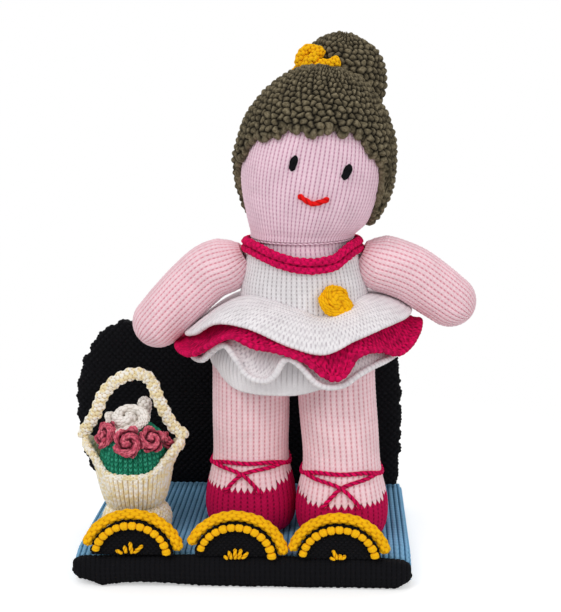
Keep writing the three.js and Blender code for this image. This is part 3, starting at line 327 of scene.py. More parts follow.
def purl(s, t, width=0.54, height=0.34, seed=0):
    """The bumpy side: short arcs in rows half a unit apart, each row set half a stitch along."""
    best = np.zeros(np.broadcast(s, t).shape)
    for shift in (0, 0.5):
        i, j = np.round(s + shift), np.round(t + shift)
        size = 0.78 + 0.22 * speckle(i, j, seed + shift)
        away = ((s + shift - i) / width) ** 2 + ((t + shift - j) / height) ** 2
        best = np.maximum(best, np.clip(1 - away, 0, 1) ** 0.65 * size)
    return best


def ribbing(s, t):
    """Wide upright ribs of V shapes with deep furrows."""
    half = 2 * np.abs(s - np.floor(s) - 0.5)
    furrow = np.clip(1 - half**4, 0, 1)
    return furrow * (0.3 + 0.7 * stocking(s, t, 0.8, rows=0.75))


def plies(turn, run):
    """Yarn of two twisted strands, by degrees round it and turns along it."""
    return np.abs(np.cos(np.radians(turn) + np.pi * run)) ** 0.8


# Meshes


def grid_normals(grid, wrap_rows, wrap_columns):
    def step(axis, wraps):
        if wraps:
            return np.roll(grid, -1, axis) - np.roll(grid, 1, axis)
        return np.gradient(grid, axis=axis)

    return unit(np.cross(step(1, wrap_columns), step(0, wrap_rows)))


def solid(grid, relief, depth, wrap_rows=False, wrap_columns=True, foot=-np.inf):
    """A closed form over a grid of points, rows up and columns round.

    Its stitches raise it along its normals. No point lies lower than foot.
    """
    rows, columns = grid.shape[:2]
    relief = np.broadcast_to(relief, (rows, columns)).astype(float)
    r = np.arange(rows if wrap_rows else rows - 1)[:, None]
    c = np.arange(columns if wrap_columns else columns - 1)[None, :]
    low, high = r * columns, ((r + 1) % rows) * columns
    right = (c + 1) % columns
    quads = np.stack([low + c, low + right, high + right, high + c], -1).reshape(-1, 4)
    triangles = np.zeros((0, 3), int)
    if not wrap_rows:  # a fan closes each end
        ring = np.arange(columns)
        following = (ring + 1) % columns
        middle = np.full(columns, rows * columns)
        top = middle - columns
        triangles = np.vstack([
            np.stack([middle, following, ring], 1),
            np.stack([middle + 1, top + ring, top + following], 1),
        ])

    def with_ends(values):
        flat = values.reshape(rows * columns, -1)
        if wrap_rows:
            return flat
        return np.vstack([flat, flat[:columns].mean(0), flat[-columns:].mean(0)])

    normal = grid_normals(grid, wrap_rows, wrap_columns)
    points = with_ends(grid)
    faces = np.vstack([quads[:, [0, 1, 2]], quads[:, [0, 2, 3]], triangles])
    first, second, third = (points[faces[:, k]] - points.mean(0) for k in range(3))
    if (first * np.cross(second, third)).sum() < 0:  # inside out
        normal, quads, triangles = -normal, quads[:, ::-1], triangles[:, ::-1]
    points = with_ends(grid + normal * (depth * (relief - 0.5))[..., None])
    points[:, 2] = np.maximum(points[:, 2], foot)
    return points, quads, triangles, with_ends(relief)[:, 0]


def build(name, parts, material):
    """One object from closed forms."""
    name = f"knit_{name}"
    starts = np.cumsum([0] + [len(p[0]) for p in parts])
    points = np.vstack([p[0] for p in parts]) * MM
    quads = np.vstack([p[1] + at for p, at in zip(parts, starts)])
    triangles = np.vstack([p[2] + at for p, at in zip(parts, starts)])
    mesh = bpy.data.meshes.new(name)
    mesh.vertices.add(len(points))
    mesh.vertices.foreach_set("co", points.ravel())
    corners = np.concatenate([quads.ravel(), triangles.ravel()])
    mesh.loops.add(len(corners))
    mesh.loops.foreach_set("vertex_index", corners.astype(np.int32))
    first = np.append(np.arange(len(quads)) * 4, quads.size + np.arange(len(triangles)) * 3)
    mesh.polygons.add(len(first))
    mesh.polygons.foreach_set("loop_start", first.astype(np.int32))
    mesh.polygons.foreach_set("use_smooth", np.ones(len(first), bool))
    mesh.update(calc_edges=True)
    # The relief also sets the painted shade: low relief takes the yarn's deep gap colour
    attribute = mesh.attributes.new("relief", "FLOAT", "POINT")
    attribute.data.foreach_set("value", np.concatenate([p[3] for p in parts]).astype(np.float32))
    mesh.materials.append(material)
    made = bpy.data.objects.new(name, mesh)
    bpy.context.scene.collection.objects.link(made)
    return made


def piece(name, parts, material, slot, body="stage", replaces=None, fill=None):
    """An object that rides on a body and replaces the node of its own name, or the given ones."""
    made = build(name, parts, material)
    replaces = replaces or [name]
    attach(made, body)
    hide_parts(*replaces)
    return made


def stuffed(name, form, material, slot="pink_knit", body="stage", fill=0.85):
    """A padded skin."""
    piece(name, [form], material, slot, body, [f"{name}_skin", f"{name}_filling"], fill)


def moved(part, turn, place):
    """A form turned by a 3 by 3 matrix and set at a place."""
    return (part[0] @ np.asarray(turn).T + np.asarray(place), *part[1:])


def rings(line, across, deep, half_width, half_depth, turn):
    """Rings round a line; directions and half sizes are one for all its points or one for each."""
    def reach(way, half):
        return (np.broadcast_to(way, line.shape) * np.broadcast_to(half, len(line))[:, None])[:, None]

    wide, thick = reach(across, half_width), reach(deep, half_depth)
    return line[:, None] + wide * cos(turn)[:, None] + thick * sin(turn)[:, None]


def ahead_round(line):
    """Direction ahead at each point of a closed line."""
    return unit(np.roll(line, -1, 0) - np.roll(line, 1, 0))


def across_to(way, ahead):
    """The part of a direction that is square to the way ahead."""
    return unit(way - ahead * (way * ahead).sum(-1, keepdims=True))


def section(path, half_width, half_depth, turn, up=(0, 1, 0)):
    """Rings round an open path."""
    ahead = unit(np.gradient(path, axis=0))
    deep = across_to(up, ahead)
    return rings(path, np.cross(ahead, deep), deep, half_width, half_depth, turn)


def rounded_ends(count, share):
    """Factors that close the two ends of a tube of count rings, over a share of its length."""
    place = np.linspace(0, 1, count)
    toward = np.clip(np.minimum(place, 1 - place) / share, 0, 1)
    return np.sqrt(np.clip(1 - (1 - toward) ** 2, 0.0025, 1))


def yarn_tube(points, radius, pitch, sides=12, step=0.5, end=2.0):
    """A strand of twisted yarn along points."""
    line = spline(points, 200)
    long = length_of(line)
    count = max(8, int(long / step))
    turn = turns(sides)
    size = radius * rounded_ends(count, min(0.45, end / long))
    relief = plies(turn, steps(count, 0, long / pitch))
    return solid(section(evenly(line, count), size, size, turn), relief, 0.35 * radius)


def yarn_ring(line, across, deep, radius, twists, sides, depth):
    """A closed ring of twisted yarn."""
    turn = turns(sides)
    relief = plies(turn, np.arange(len(line))[:, None] / len(line) * twists)
    return solid(rings(line, across, deep, radius, radius, turn), relief, depth, wrap_rows=True)


def cushion(outline, middle, shares, bulge):
    """Both faces of a flat stuffed form, as rings that grow from its middle to its outline."""
    faces = []
    for side, places in ((1, shares), (-1, shares[-2::-1])):
        for share in places:
            ring = mix(middle, outline, share)
            ring[:, 1] = bulge(side, share)
            faces.append(ring)
    return np.stack(faces)


def cloth(middle, thickness, relief, depth, hem=1.0):
    """Closed cloth on both sides of a grid of middle points, rows from the seam to the hem."""
    normal = grid_normals(middle, False, True)
    place = np.linspace(0, 1, len(middle))[:, None, None]
    half = thickness / 2 * (1 + (hem - 1) * smoothstep(place, 0.9, 1))
    outward = unit(middle[-1] - middle[-3])
    face = middle + normal * half
    back_rows = np.unique(np.linspace(len(middle) - 1, 0, len(middle) // 4).astype(int))[::-1]
    back = (middle - normal * half)[back_rows]
    edge = [
        middle[-1] + normal[-1] * half[-1] * sin(a) + outward * half[-1] * cos(a)
        for a in (54, 18, -18, -54)
    ]
    grid = np.concatenate([face, edge, back])
    hem_relief = np.repeat(relief[-1:] * 0.5 + 0.25, len(edge), axis=0)
    raised = np.concatenate([relief, hem_relief, relief[back_rows]])
    return solid(grid, raised, depth, wrap_rows=True)


# Materials


def linear(code):
    """Scene colour of a written one."""
    value = np.array([int(code[i:i + 2], 16) for i in (1, 3, 5)]) / 255
    return (*np.where(value <= 0.04045, value / 12.92, ((value + 0.055) / 1.055) ** 2.4), 1.0)


def feed(tree, node, inputs):
    """Set a node's inputs, or link them where the value is another node's output."""
    for key, value in inputs.items():
        if isinstance(value, bpy.types.NodeSocket):
            tree.links.new(value, node.inputs[key])
        else:
            node.inputs[key].default_value = value


def output(tree, kind, socket, inputs=None, **settings):
    """Output of a new node."""
    node = tree.nodes.new(f"ShaderNode{kind}")
    for key, value in settings.items():
        setattr(node, key, value)
    feed(tree, node, inputs or {})
    return node.outputs[socket]


def ranged(tree, value, low, high, start=0.0, end=1.0):
    inputs = {"Value": value, "From Min": low, "From Max": high, "To Min": start, "To Max": end}
    return output(tree, "MapRange", "Result", inputs, interpolation_type="SMOOTHSTEP")


def yarn(name, crest, deep, fleck=None, fleck_size=2.5, sheen=0.25, reach=(0.02, 0.8)):
    """Knitting yarn with fine fibres: the crest colour on the raised strands, and the deep colour as painted
    shade in the gaps between them.
    """
    material = bpy.data.materials.new(name)
    material.use_nodes = True
    tree = material.node_tree
    place = output(tree, "TexCoord", "Object")

    def noise(size, detail):
        inputs = {"Vector": place, "Scale": 1 / (size * MM), "Detail": detail, "Roughness": 0.6}
        return output(tree, "TexNoise", "Fac", inputs)

    def blend(factor, first, second):
        return output(tree, "Mix", 2, {0: factor, 6: first, 7: second}, data_type="RGBA")

    top = linear(crest)
    if fleck:
        patches = ranged(tree, noise(fleck_size, 1.0), 0.42, 0.58)
        top = blend(patches, linear(crest), linear(fleck))
    relief = output(tree, "Attribute", "Fac", attribute_name="relief")
    # Painted shade: from the deep colour in the stitch gaps to the crest colour on the raised strands
    colour = blend(ranged(tree, relief, *reach), linear(deep), top)
    strand = ranged(tree, noise(0.5, 3.0), 0.3, 0.7)
    broad = ranged(tree, ranged(tree, noise(14.0, 2.0), 0.3, 0.7), 0, 1, 0.88, 0.96)
    level = output(tree, "Math", 0, {0: strand, 1: 0.16, 2: broad}, operation="MULTIPLY_ADD")
    fibres = {"Strength": 0.6, "Distance": 0.35 * MM, "Height": noise(0.45, 4.0)}
    feed(tree, tree.nodes["Principled BSDF"], {
        "Base Color": output(tree, "HueSaturation", "Color", {"Color": colour, "Value": level}),
        "Normal": output(tree, "Bump", "Normal", fibres),
        "Roughness": 0.95,
        "Specular IOR Level": 0.15,
        "Sheen Weight": sheen,
        "Sheen Roughness": 0.6,
        "Sheen Tint": linear(crest),
    })
    return material


# Each yarn's second colour is painted shade for the gaps between its strands; any fleck colour is the yarn's
# own
FACE_PINK = yarn("face_pink", "#fbdde9", "#c07fa0", reach=(0.1, 0.96))
ARM_PINK = yarn("arm_pink", "#ffe0e7", "#e2899c", reach=(0.1, 0.96))
LEG_PINK = yarn("leg_pink", "#ffe1e6", "#dc8f9b", reach=(0.1, 0.96))
WHITE = yarn("white", "#f7f4f6", "#b5acb3")
SOFT_WHITE = yarn("soft_white", "#f1eef0", "#aea4a8", reach=(0.05, 0.9))
BLACK = yarn("black", "#0e0e12", "#010101", sheen=0.05)
BLUE = yarn("blue", "#85bade", "#1f5679")
GOLD = yarn("gold", "#ffc010", "#b05803", reach=(0.02, 0.68))
CREAM = yarn("cream", "#fffaee", "#c79f58", fleck="#f8e7b8", fleck_size=3.0, reach=(0.02, 0.6))
GREEN = yarn("green", "#3aa483", "#04392a", fleck="#1f8565")
ROSE = yarn("rose", "#ee7c8e", "#571324", fleck="#d2566d")
IVORY = yarn("ivory", "#fffaf4", "#b0a396")
CRIMSON = yarn("crimson", "#e8095c", "#4a021e", fleck="#c8084f", reach=(0.08, 0.8))
SHOE_CRIMSON = yarn("shoe_crimson", "#c20c4e", "#5a0227")
RED = yarn("red", "#f01a1a", "#a80a0a")
BROWN = yarn("brown", "#887d65", "#060402", fleck="#6b614b", fleck_size=1.4, reach=(0.36, 1.0))
UNDER_BLACK = yarn("under_black", "#17171a", "#020202", sheen=0.05)


# Stage


def front_sag(x):
    """How far the soft front edge hangs below the top of the stage."""
    return 1.2 + 2.4 * np.abs(x / STAGE_HALF_WIDTH) ** 4


def stage_floor():
    """The ribbed cover, wrapped over the sides and the back of its padding."""
    def profile(half, step):
        """Distance across and drop below the top, from the middle to the foot of a side."""
        flat = half - STAGE_ROUND
        arc = STAGE_ROUND * np.pi / 2
        run = np.arange(0, flat + arc + STAGE_TOP - COVER_FOOT - STAGE_ROUND + step, step)
        bend = np.clip((run - flat) / STAGE_ROUND, 0, np.pi / 2)
        across = np.minimum(run, flat) + STAGE_ROUND * np.sin(bend)
        drop = STAGE_ROUND * (1 - np.cos(bend)) + np.maximum(0, run - flat - arc)
        return run, across, drop

    run, across, drop = profile(STAGE_HALF_WIDTH, FLOOR_RIB / FINE)
    x = np.append(-across[:0:-1], across)
    rib = np.append(-run[:0:-1], run) / FLOOR_RIB
    front = BAND_BACK + GAP
    deep, back, back_drop = (values[:, None] for values in profile(STAGE_BACK - front, 0.6))
    y = front + back
    drop = np.append(drop[:0:-1], drop) + back_drop
    height = np.maximum(COVER_FOOT, STAGE_TOP - drop)
    height += (0.6 * (np.sin(x / 17) * np.cos(y / 21)) - 0.6) * (drop < 1)
    height -= front_sag(x) * (1 - smoothstep(y, front, front + 14))
    grid = xyz(x, np.vstack([y[:1], y]), np.vstack([height[:1] * 0 + COVER_FOOT, height]))
    relief = ribbing(rib, deep / 4.2)
    relief = np.vstack([relief[:1] * 0 + 0.5, relief])
    cover = solid(grid, relief, 1.5, wrap_rows=True, wrap_columns=False, foot=COVER_FOOT)
    cover[0][:, 2] = np.minimum(cover[0][:, 2], STAGE_TOP + 0.2)
    piece("stage_cover", [cover], BLUE, "blue_knit", replaces=["stage_cover", "stage_core"], fill=0.8)


def stage_underside():
    """A flat sole; its last two rows are its upper side."""
    inset = 1.25
    side = STAGE_HALF_WIDTH - inset
    x = np.linspace(-side, side, 330)
    y = steps(180, BAND_BACK + GAP, STAGE_BACK - inset)
    relief = purl(x / 3.6, y / 3.0)
    height = np.vstack([0.55 * (1 - relief), np.full((2, len(x)), 2.0)])
    height[:, [0, -1]] = 1
    grid = xyz(x, np.vstack([y, y[-1:], y[:1]]), height)
    relief = np.vstack([relief, np.full((2, len(x)), 0.5)])
    panel = solid(grid, relief, 0, wrap_rows=True, wrap_columns=False)
    piece("stage_underside", [panel], UNDER_BLACK, "black_knit")


def front_band():
    """A padded roll that sags a little, has a knob near its left end and is drawn up at both ends."""
    stitches, sides = 68, 96
    share = steps(stitches * FINE)
    angle = turns(sides)
    end = rounded_ends(len(share), 0.035)[:, None]
    knob_place = 0.085
    knob = bell(share - knob_place, 0.03)
    x = mix(-STAGE_HALF_WIDTH, STAGE_HALF_WIDTH, share)
    top = STAGE_TOP - 0.3 - front_sag(x) + 0.4 * np.cos(14 * share) - 1.5 * (1 - end)
    left_end = np.clip(1 - share / knob_place, 0, 1)
    right_end = np.clip((share - 0.955) / 0.045, 0, 1)
    droop = BAND_DROOP * bell(share - 0.22, 0.12) * (1 - knob)
    foot = GAP + 0.4 + droop + 6.5 * left_end + 5 * right_end
    half_height = (top - foot) / 2 * (0.55 + 0.45 * end)

    def squared(value):
        return np.sign(value) * np.abs(value) ** 0.8

    lumpy = 0.35 * np.sin(x / 6.3 + 2 * np.sin(x / 23)) * cos(angle)
    y = BAND_BACK - BAND_DEPTH / 2 * (1 + end * squared(cos(angle))) - knob - lumpy
    z = (top + foot) / 2 + half_height * squared(sin(angle))
    columns = stocking(share * stitches, angle / 360 * 22)
    edge = purl(x / 4.4, angle / 360 * 10, seed=6)
    at_edge = smoothstep(-sin(angle), 0.55, 0.8)
    band = solid(xyz(x, y, z), mix(columns, edge, at_edge), 1.1 + 1.3 * at_edge, foot=0.35)
    piece("front_band", [band], BLACK, "black_knit", fill=0.7)


def backdrop_outline(count):
    left, right, top = BACKDROP_LEFT + 4, BACKDROP_RIGHT, BACKDROP_HEIGHT
    sketch = [
        (-0.82 * left, 0), (-0.935 * left, 0.09), (-left, 0.46), (-0.985 * left, 0.64), (-0.92 * left, 0.82),
        (-0.81 * left, 0.955), (-0.62 * left, 1), (0, 0.99), (0.66 * right, 1), (0.86 * right, 0.94),
        (0.96 * right, 0.8), (right, 0.38), (0.975 * right, 0),
    ]
    upper = spline([(x, 0, z * top) for x, z in sketch], 400)
    lower = np.linspace(upper[-1], upper[0], 160)[1:-1]
    outline = evenly_round(np.vstack([upper, lower]), count)
    lumps = sum(np.sin(turns(count) * np.pi / 180 * waves + waves) for waves in (31, 47, 64))[:, None]
    return outline * (1 + 0.0035 * lumps * (outline[:, 2:] > 2))


def backdrop():
    """A stuffed panel sewn along its foot to the rear of the floor."""
    centre = STAGE_BACK - BACKDROP_THICKNESS / 2
    half = BACKDROP_THICKNESS / 2 - 0.8

    def bulge(side, share):
        return centre + side * half * (1 - share**9) ** 0.5 * (0.9 + 0.1 * np.cos(share * 3))

    middle = np.array([-8, 0, BACKDROP_HEIGHT * 0.5])
    outline = mix(middle, backdrop_outline(860), 0.988)
    shares = np.append(np.linspace(0.02, 0.86, 110), 1 - 0.14 * np.linspace(1, 0, 24)[1:] ** 1.6)
    x, y, z = np.moveaxis(cushion(outline, middle, shares, bulge), -1, 0)
    soft = 0.5 * np.sin(x / 19 + 1.3 * np.cos(z / 23)) + 0.4 * np.sin(z / 15 + x / 37)
    y += soft * np.sign(y - centre)
    z += FLOOR + 0.6
    panel = solid(xyz(x, y, z), purl(x / 4.6, z / 4.8, seed=3), 1.9, foot=FLOOR)
    stuffed("backdrop", panel, BLACK, "black_knit", fill=0.75)


# Footlights


def half_circle(radius, y, count, end=0.0, tilt=0.0):
    """Points on an arch, from an angle above the base to the same angle on the other side."""
    turn = np.linspace(180 - end, end, count) - tilt
    return np.stack([radius * cos(turn), np.full(count, y), radius * sin(turn)], 1)


# Foot and tip, across and up, of the straight stitches on each light
RAYS = {
    1: [
        ((-5, 1.4), (-9, 4.2)), ((-2.8, 1.5), (-3.8, 7.2)), ((0.7, 1.2), (-0.4, 9.7)),
        ((1.8, 1.6), (7.2, 7.7)),
    ],
    2: [
        ((-4.4, -0.9), (-6.8, 1.6)), ((-2.2, -1.2), (-4, 4.9)), ((0, -1.3), (-0.2, 6.5)),
        ((2, -1.2), (3.4, 6.3)), ((3.8, -0.9), (7.6, 4.2)),
    ],
    3: [((-2, 0.5), (-5.2, 2)), ((-0.6, 0.4), (-3.5, 7.2)), ((0.8, 0.3), (0.9, 4.4)), ((1.7, 0.4), (4, 3.8))],
}
# Each light as it was sewn on: shift to the right, sink into the band, turn to the right in degrees
LIGHT_SEAMS = {1: (-2.0, 1.9, 3), 2: (-0.3, 2.4, 6.5), 3: (0, 3.2, 1)}
LIGHT_WIDE, LIGHT_TALL = 1.05, 0.93


def footlight(number):
    inside_rim = LIGHT_RADIUS - 2 * RIM_YARN
    pad_radius = inside_rim - 1.5 * GAP
    bead_circle = inside_rim - GAP - BEAD_YARN - 1
    face = -LIGHT_PAD / 2
    aside, sink, tilt = LIGHT_SEAMS[number]
    turn = [
        [LIGHT_WIDE, 0, 0],
        [0, cos(LIGHT_LEAN), sin(LIGHT_LEAN) * LIGHT_TALL],
        [0, -sin(LIGHT_LEAN), cos(LIGHT_LEAN) * LIGHT_TALL],
    ]
    place = [
        LIGHT_SHIFT + (number - 2) * LIGHT_PITCH + aside,
        BAND_BACK - LIGHT_PAD * 0.8,
        FLOOR + LIGHT_PAD / 2 * sin(LIGHT_LEAN) - sink,
    ]

    def show(name, parts, material=GOLD, slot="gold_knit", fill=None):
        set_up = [moved(part, turn, place) for part in parts]
        piece(f"light_{number}_{name}", set_up, material, slot, fill=fill)

    # Padded half disc with a row of dashes
    def bulge(side, share):
        crown = 1 + 0.12 * (1 - share**2) * (side < 0)
        return side * (LIGHT_PAD / 2 - 0.5) * (1 - share**6) ** 0.5 * crown

    arc = half_circle(1, 0, 210)
    outline = np.vstack([arc, np.linspace(arc[-1], arc[0], 112)[1:-1]])
    outline[:, 2] = np.maximum(outline[:, 2], 0.02)
    middle = np.array([0, 0, 0.42 * pad_radius])
    shares = np.append(np.linspace(0.03, 0.85, 44), 1 - 0.15 * np.linspace(1, 0, 14)[1:] ** 1.5)
    grid = cushion(outline * pad_radius, middle, shares, bulge)
    relief = purl(grid[..., 0] / 3.4, grid[..., 2] / 3.8, seed=number)
    parts = [solid(grid, relief, 1.0, foot=0)]
    radius = mix(bead_circle + BEAD_YARN, inside_rim, 0.5)
    dashes = 15
    for k in range(dashes):
        at = mix(176, 4, (k + 0.5) / dashes) - tilt
        line = [
            (radius * cos(at + a), face - lift, radius * sin(at + a))
            for a, lift in ((4.9, -0.2), (0, 0.7), (-4.9, -0.2))
        ]
        parts.append(yarn_tube(line, 0.72, pitch=3, sides=8))
    show("pad", parts, BLACK, "black_knit", fill=0.7)

    # Knitted rim, a fat roll of big stitches with full round ends
    count, angle = 250, turns(48)
    path = half_circle(LIGHT_RADIUS - RIM_YARN, 0, count, RIM_END, tilt)
    thick = RIM_YARN * rounded_ends(count, 0.035)
    ripple = 1 + 0.03 * np.sin(np.linspace(0, 40, count) + number)
    run = steps(count, 0, length_of(path) / 5.4) + 0.1 * number
    relief = purl(run, wale(angle, 4) + 0.25, 0.56, 0.38, seed=number)
    grid = section(path, 0.97 * thick * ripple, 1.15 * thick, angle)
    show("rim", [solid(grid, relief, 1.9, foot=0)])

    # Row of wrapped stitches inside the rim
    count = BEADS * 16
    path = half_circle(bead_circle, face - BEAD_YARN * 0.75, count, BEAD_END, tilt)
    phase = np.linspace(0, BEADS, count)
    lump = np.abs(np.sin(np.pi * phase)) ** 0.5
    wobble = 1 + 0.26 * (speckle(np.floor(phase), number) - 0.5)
    size = BEAD_YARN * 1.08 * (0.5 + 0.5 * lump) * wobble * rounded_ends(count, 0.02)
    cleft = 1 - 0.55 * bell(np.mod(phase, 1) - 0.5, 0.07)
    grid = section(path, size * 1.05, size, turns(24))
    show("beads", [solid(grid, (lump * cleft)[:, None], 0.5)])

    # Straight stitches fanned from the base
    rays = []
    out = face - RAY_YARN * 0.5
    for (foot_x, foot_z), (tip_x, tip_z) in RAYS[number]:
        foot = np.array([foot_x, out, foot_z + RAY_YARN])
        tip = np.array([tip_x, out, tip_z + RAY_YARN * 0.6])
        bow = mix(foot, tip, 0.5) + [0, -0.8, 0]
        rays.append(yarn_tube([foot, bow, tip], RAY_YARN, pitch=3.4, step=0.3))
    show("rays", rays)


# Basket of flowers


def wing(angle):
    return np.abs(sin(angle)) ** 6


def basket_piece(name, part, material, slot, **more):
    piece(name, [(part[0] + BASKET, *part[1:])], material, slot, **more)


BASKET_FOOT = PEDESTAL_HEIGHT + GAP
FLOWERS_HEIGHT = BASKET_HEIGHT + FOLIAGE_HEIGHT
FOLIAGE_RADIUS = BASKET_MOUTH_RADIUS - BASKET_WALL - GAP
BRIM_LEVEL = BASKET_HEIGHT / FLOWERS_HEIGHT
FOLIAGE_ROWS = [(0.15, 0.62), (0.25, 0.82), (BRIM_LEVEL, 0.99), (0.7, 0.97), (0.88, 0.82), (1, 0.5)]


def pedestal():
    rows = [(0, 0.86), (0.14, 0.98), (0.42, 1), (0.7, 0.93), (0.9, 0.8), (1, 0.62)]
    place = steps(76)
    angle, across = wales(38)
    lumps = 1 + 0.03 * np.sin(np.radians(3 * angle) + 4 * place)
    radius = PEDESTAL_RADIUS * along(rows, place)[..., 0] * lumps - 0.5
    grid = ellipse((0, 0, place * PEDESTAL_HEIGHT), 0, radius, radius, angle)
    relief = purl(across, place * 6 + 0.4 * sin(2 * angle), seed=9)
    mound = solid(grid, relief, 1.6, foot=0)
    basket_piece("basket_pedestal", mound, CREAM, "cream_knit", fill=0.7)


def basket_body():
    """Ribbed bowl with a knobbly brim that rises into two side wings."""
    angle, ribs = wales(46)

    def brim_height(turn):
        return BASKET_HEIGHT + BRIM_LIFT + (WING_RISE - BRIM_LIFT) * wing(turn)

    def wall_radius(turn, height):
        low = np.minimum(1, height / BASKET_HEIGHT)
        spread = np.maximum(0, (height - BASKET_HEIGHT - WING_FOOT) / (WING_RISE - WING_FOOT))
        return mix(BASKET_BASE_RADIUS, BASKET_MOUTH_RADIUS, low**0.6) + WING_FLARE * wing(turn) * spread

    def wall(place, inset):
        height = place * brim_height(angle)
        radius = wall_radius(angle, height) - inset
        return ellipse((0, 0, BASKET_FOOT + height), 0, radius, radius, angle), height

    outside, height = wall(steps(84), 0.35)
    inside = wall(steps(16, 1, 0.1), BASKET_WALL)[0]
    relief = 0.1 + 0.9 * ribbing(ribs, height / 3.4)
    relief = np.vstack([relief, np.repeat(relief[-1:] * 0.5 + 0.2, len(inside), axis=0)])
    bowl = solid(np.concatenate([outside, inside]), relief, 1.7)

    # Rolled brim, thin at the front and as thick as the handle on the wings
    turn = turns(720)
    top = brim_height(turn)
    radius = wall_radius(turn, top) - BASKET_WALL / 2 - 1.6 * wing(turn)
    middle = (0, 0, BASKET_FOOT + top - mix(0.6, 2.6, wing(turn)))
    ring = ellipse(middle, 0, radius, radius, turn)
    long = length_of(ring)
    count = 560
    share = np.arange(count) / count
    ring = evenly_round(ring, count)
    thick = wing(np.degrees(np.arctan2(ring[:, 0], -ring[:, 1])))
    knobs = 1 + 0.13 * np.cos(2 * np.pi * np.round(long / 6.0) * share)
    ahead = ahead_round(ring)
    deep = across_to(unit(ring * [1, 1, 0]), ahead)
    sides = turns(32)
    wide, flat = mix(1.7, 4.0, thick) * knobs, mix(1.7, 2.6, thick)
    hoop = rings(ring, np.cross(deep, ahead), deep, wide, flat, sides)
    knots = purl(share[:, None] * np.round(long / 3.6), wale(sides, 4) + 0.25, seed=14)
    brim = solid(hoop, knots, 1.2, wrap_rows=True)
    parts = [(part[0] + BASKET, *part[1:]) for part in (bowl, brim)]
    piece("basket_body", parts, CREAM, "cream_knit")


def foliage():
    place = np.append(np.linspace(0.15, 0.3, 6), np.linspace(0.31, 1, 120))[:, None]
    angle, across = wales(42)
    radius = FOLIAGE_RADIUS * along(FOLIAGE_ROWS, place)[..., 0] - 0.5
    grid = ellipse((0, 0, BASKET_FOOT + FLOWERS_HEIGHT * place), 0, radius, radius, angle)
    course = place * 17
    uneven = 0.8 + 0.2 * speckle(np.floor(across), np.floor(course))
    leaf = solid(grid, stocking(across, course, 0.7, rows=0.85) * uneven, 1.9)
    basket_piece("basket_foliage", leaf, GREEN, "green_knit", fill=0.6)


def ruffle(radius, depth, seed, lobes=5, frill=0.12, folds=1.5, fold_depth=2.2, fold_shade=0.85, wide=1.0):
    """A knitted flower gathered into a domed knob, with a spiral of folds round its middle, darkened by
    painted shade in the fold valleys.
    """
    angle = turns(320)[None, :]
    tilt = steps(130, 3, 132)
    share = sin(np.minimum(tilt, 90)) * (1 - 0.35 * smoothstep(tilt, 90, 132))
    turned = np.radians(angle) + 1.9 * share
    wave = np.sin(lobes * turned + seed) + 0.5 * np.sin((lobes + 3) * turned + 2.3 * seed)
    out = radius * share * (1 + frill * wave * share**1.5)
    spiral = angle / 360 + folds * out / radius + 0.1 * seed + 0.06 * wave
    petal = np.abs(np.sin(np.pi * spiral)) ** 0.6
    low = (1 - petal) * smoothstep(tilt, 118, 80)
    dip = fold_depth * low
    tall = depth * (0.5 + 0.5 * cos(tilt)) + frill * 7 * wave * sin(tilt) ** 2
    tall = tall - dip * cos(np.minimum(tilt, 85))
    out = out * (1 - 0.08 / 2.2 * dip * sin(tilt))
    run = np.radians(tilt) * (radius + depth) / 2
    knots = purl(run * np.sin(turned) / 3.4, run * np.cos(turned) / 4.4, 0.58, 0.4, seed=seed)
    grid = xyz(wide * out * sin(angle), -out * cos(angle), tall)
    # Painted shade: the relief is lowered in the fold valleys, so the yarn's deep colour darkens them; this
    # also sinks them a little
    return solid(grid, knots * (1 - fold_shade * low**0.7), 1.5)


def facing(direction):
    """Turn that sends +Z to a direction."""
    return np.array(Vector((0, 0, 1)).rotation_difference(Vector(direction)).to_matrix())


# Pink roses: angle round the basket, height as a share of the flowers, and size
ROSES = [(-54, 0.89, 0.95), (2, 0.84, 1), (43, 0.85, 0.9), (90, 0.76, 0.7)]


def flowers():
    for number, (angle, level, size) in enumerate(ROSES, 1):
        out = FOLIAGE_RADIUS * along(FOLIAGE_ROWS, level)[0] - 2.2
        away = (sin(angle), -cos(angle), 0.6)
        place = (out * away[0], out * away[1], BASKET_FOOT + FLOWERS_HEIGHT * level)
        flower = moved(ruffle(9.6 * size, 8.6 * size, number * 1.7), facing(away), place)
        basket_piece(f"pink_rose_{number}", flower, ROSE, "rose_knit")
    top = BASKET_FOOT + FLOWERS_HEIGHT
    # The white rose's folds take less painted shade than the pink roses'
    white = ruffle(13, 10.5, 1.2, lobes=4, frill=0.1, folds=1.35, fold_depth=4.4, fold_shade=0.55, wide=1.12)
    white = moved(white, facing((-0.1, -0.55, 1)), (-2.5, 0, top - 0.6))
    basket_piece("white_rose", white, IVORY, "white_knit")
    rows, sides = 48, turns(48)
    line = spline([(6, 11.5, top + rise) for rise in (-6, 3, 15)], rows)
    girth = [(0, 0.5), (0.2, 0.55), (0.7, 1), (0.9, 0.86), (1, 0.3)]
    size = 4.6 * along(girth, np.linspace(0, 1, rows))[:, 0]
    bud = solid(section(line, size, size, sides), purl(wale(sides, 6), steps(rows, 0, 5)), 1.1)
    basket_piece("white_bud", bud, IVORY, "white_knit")


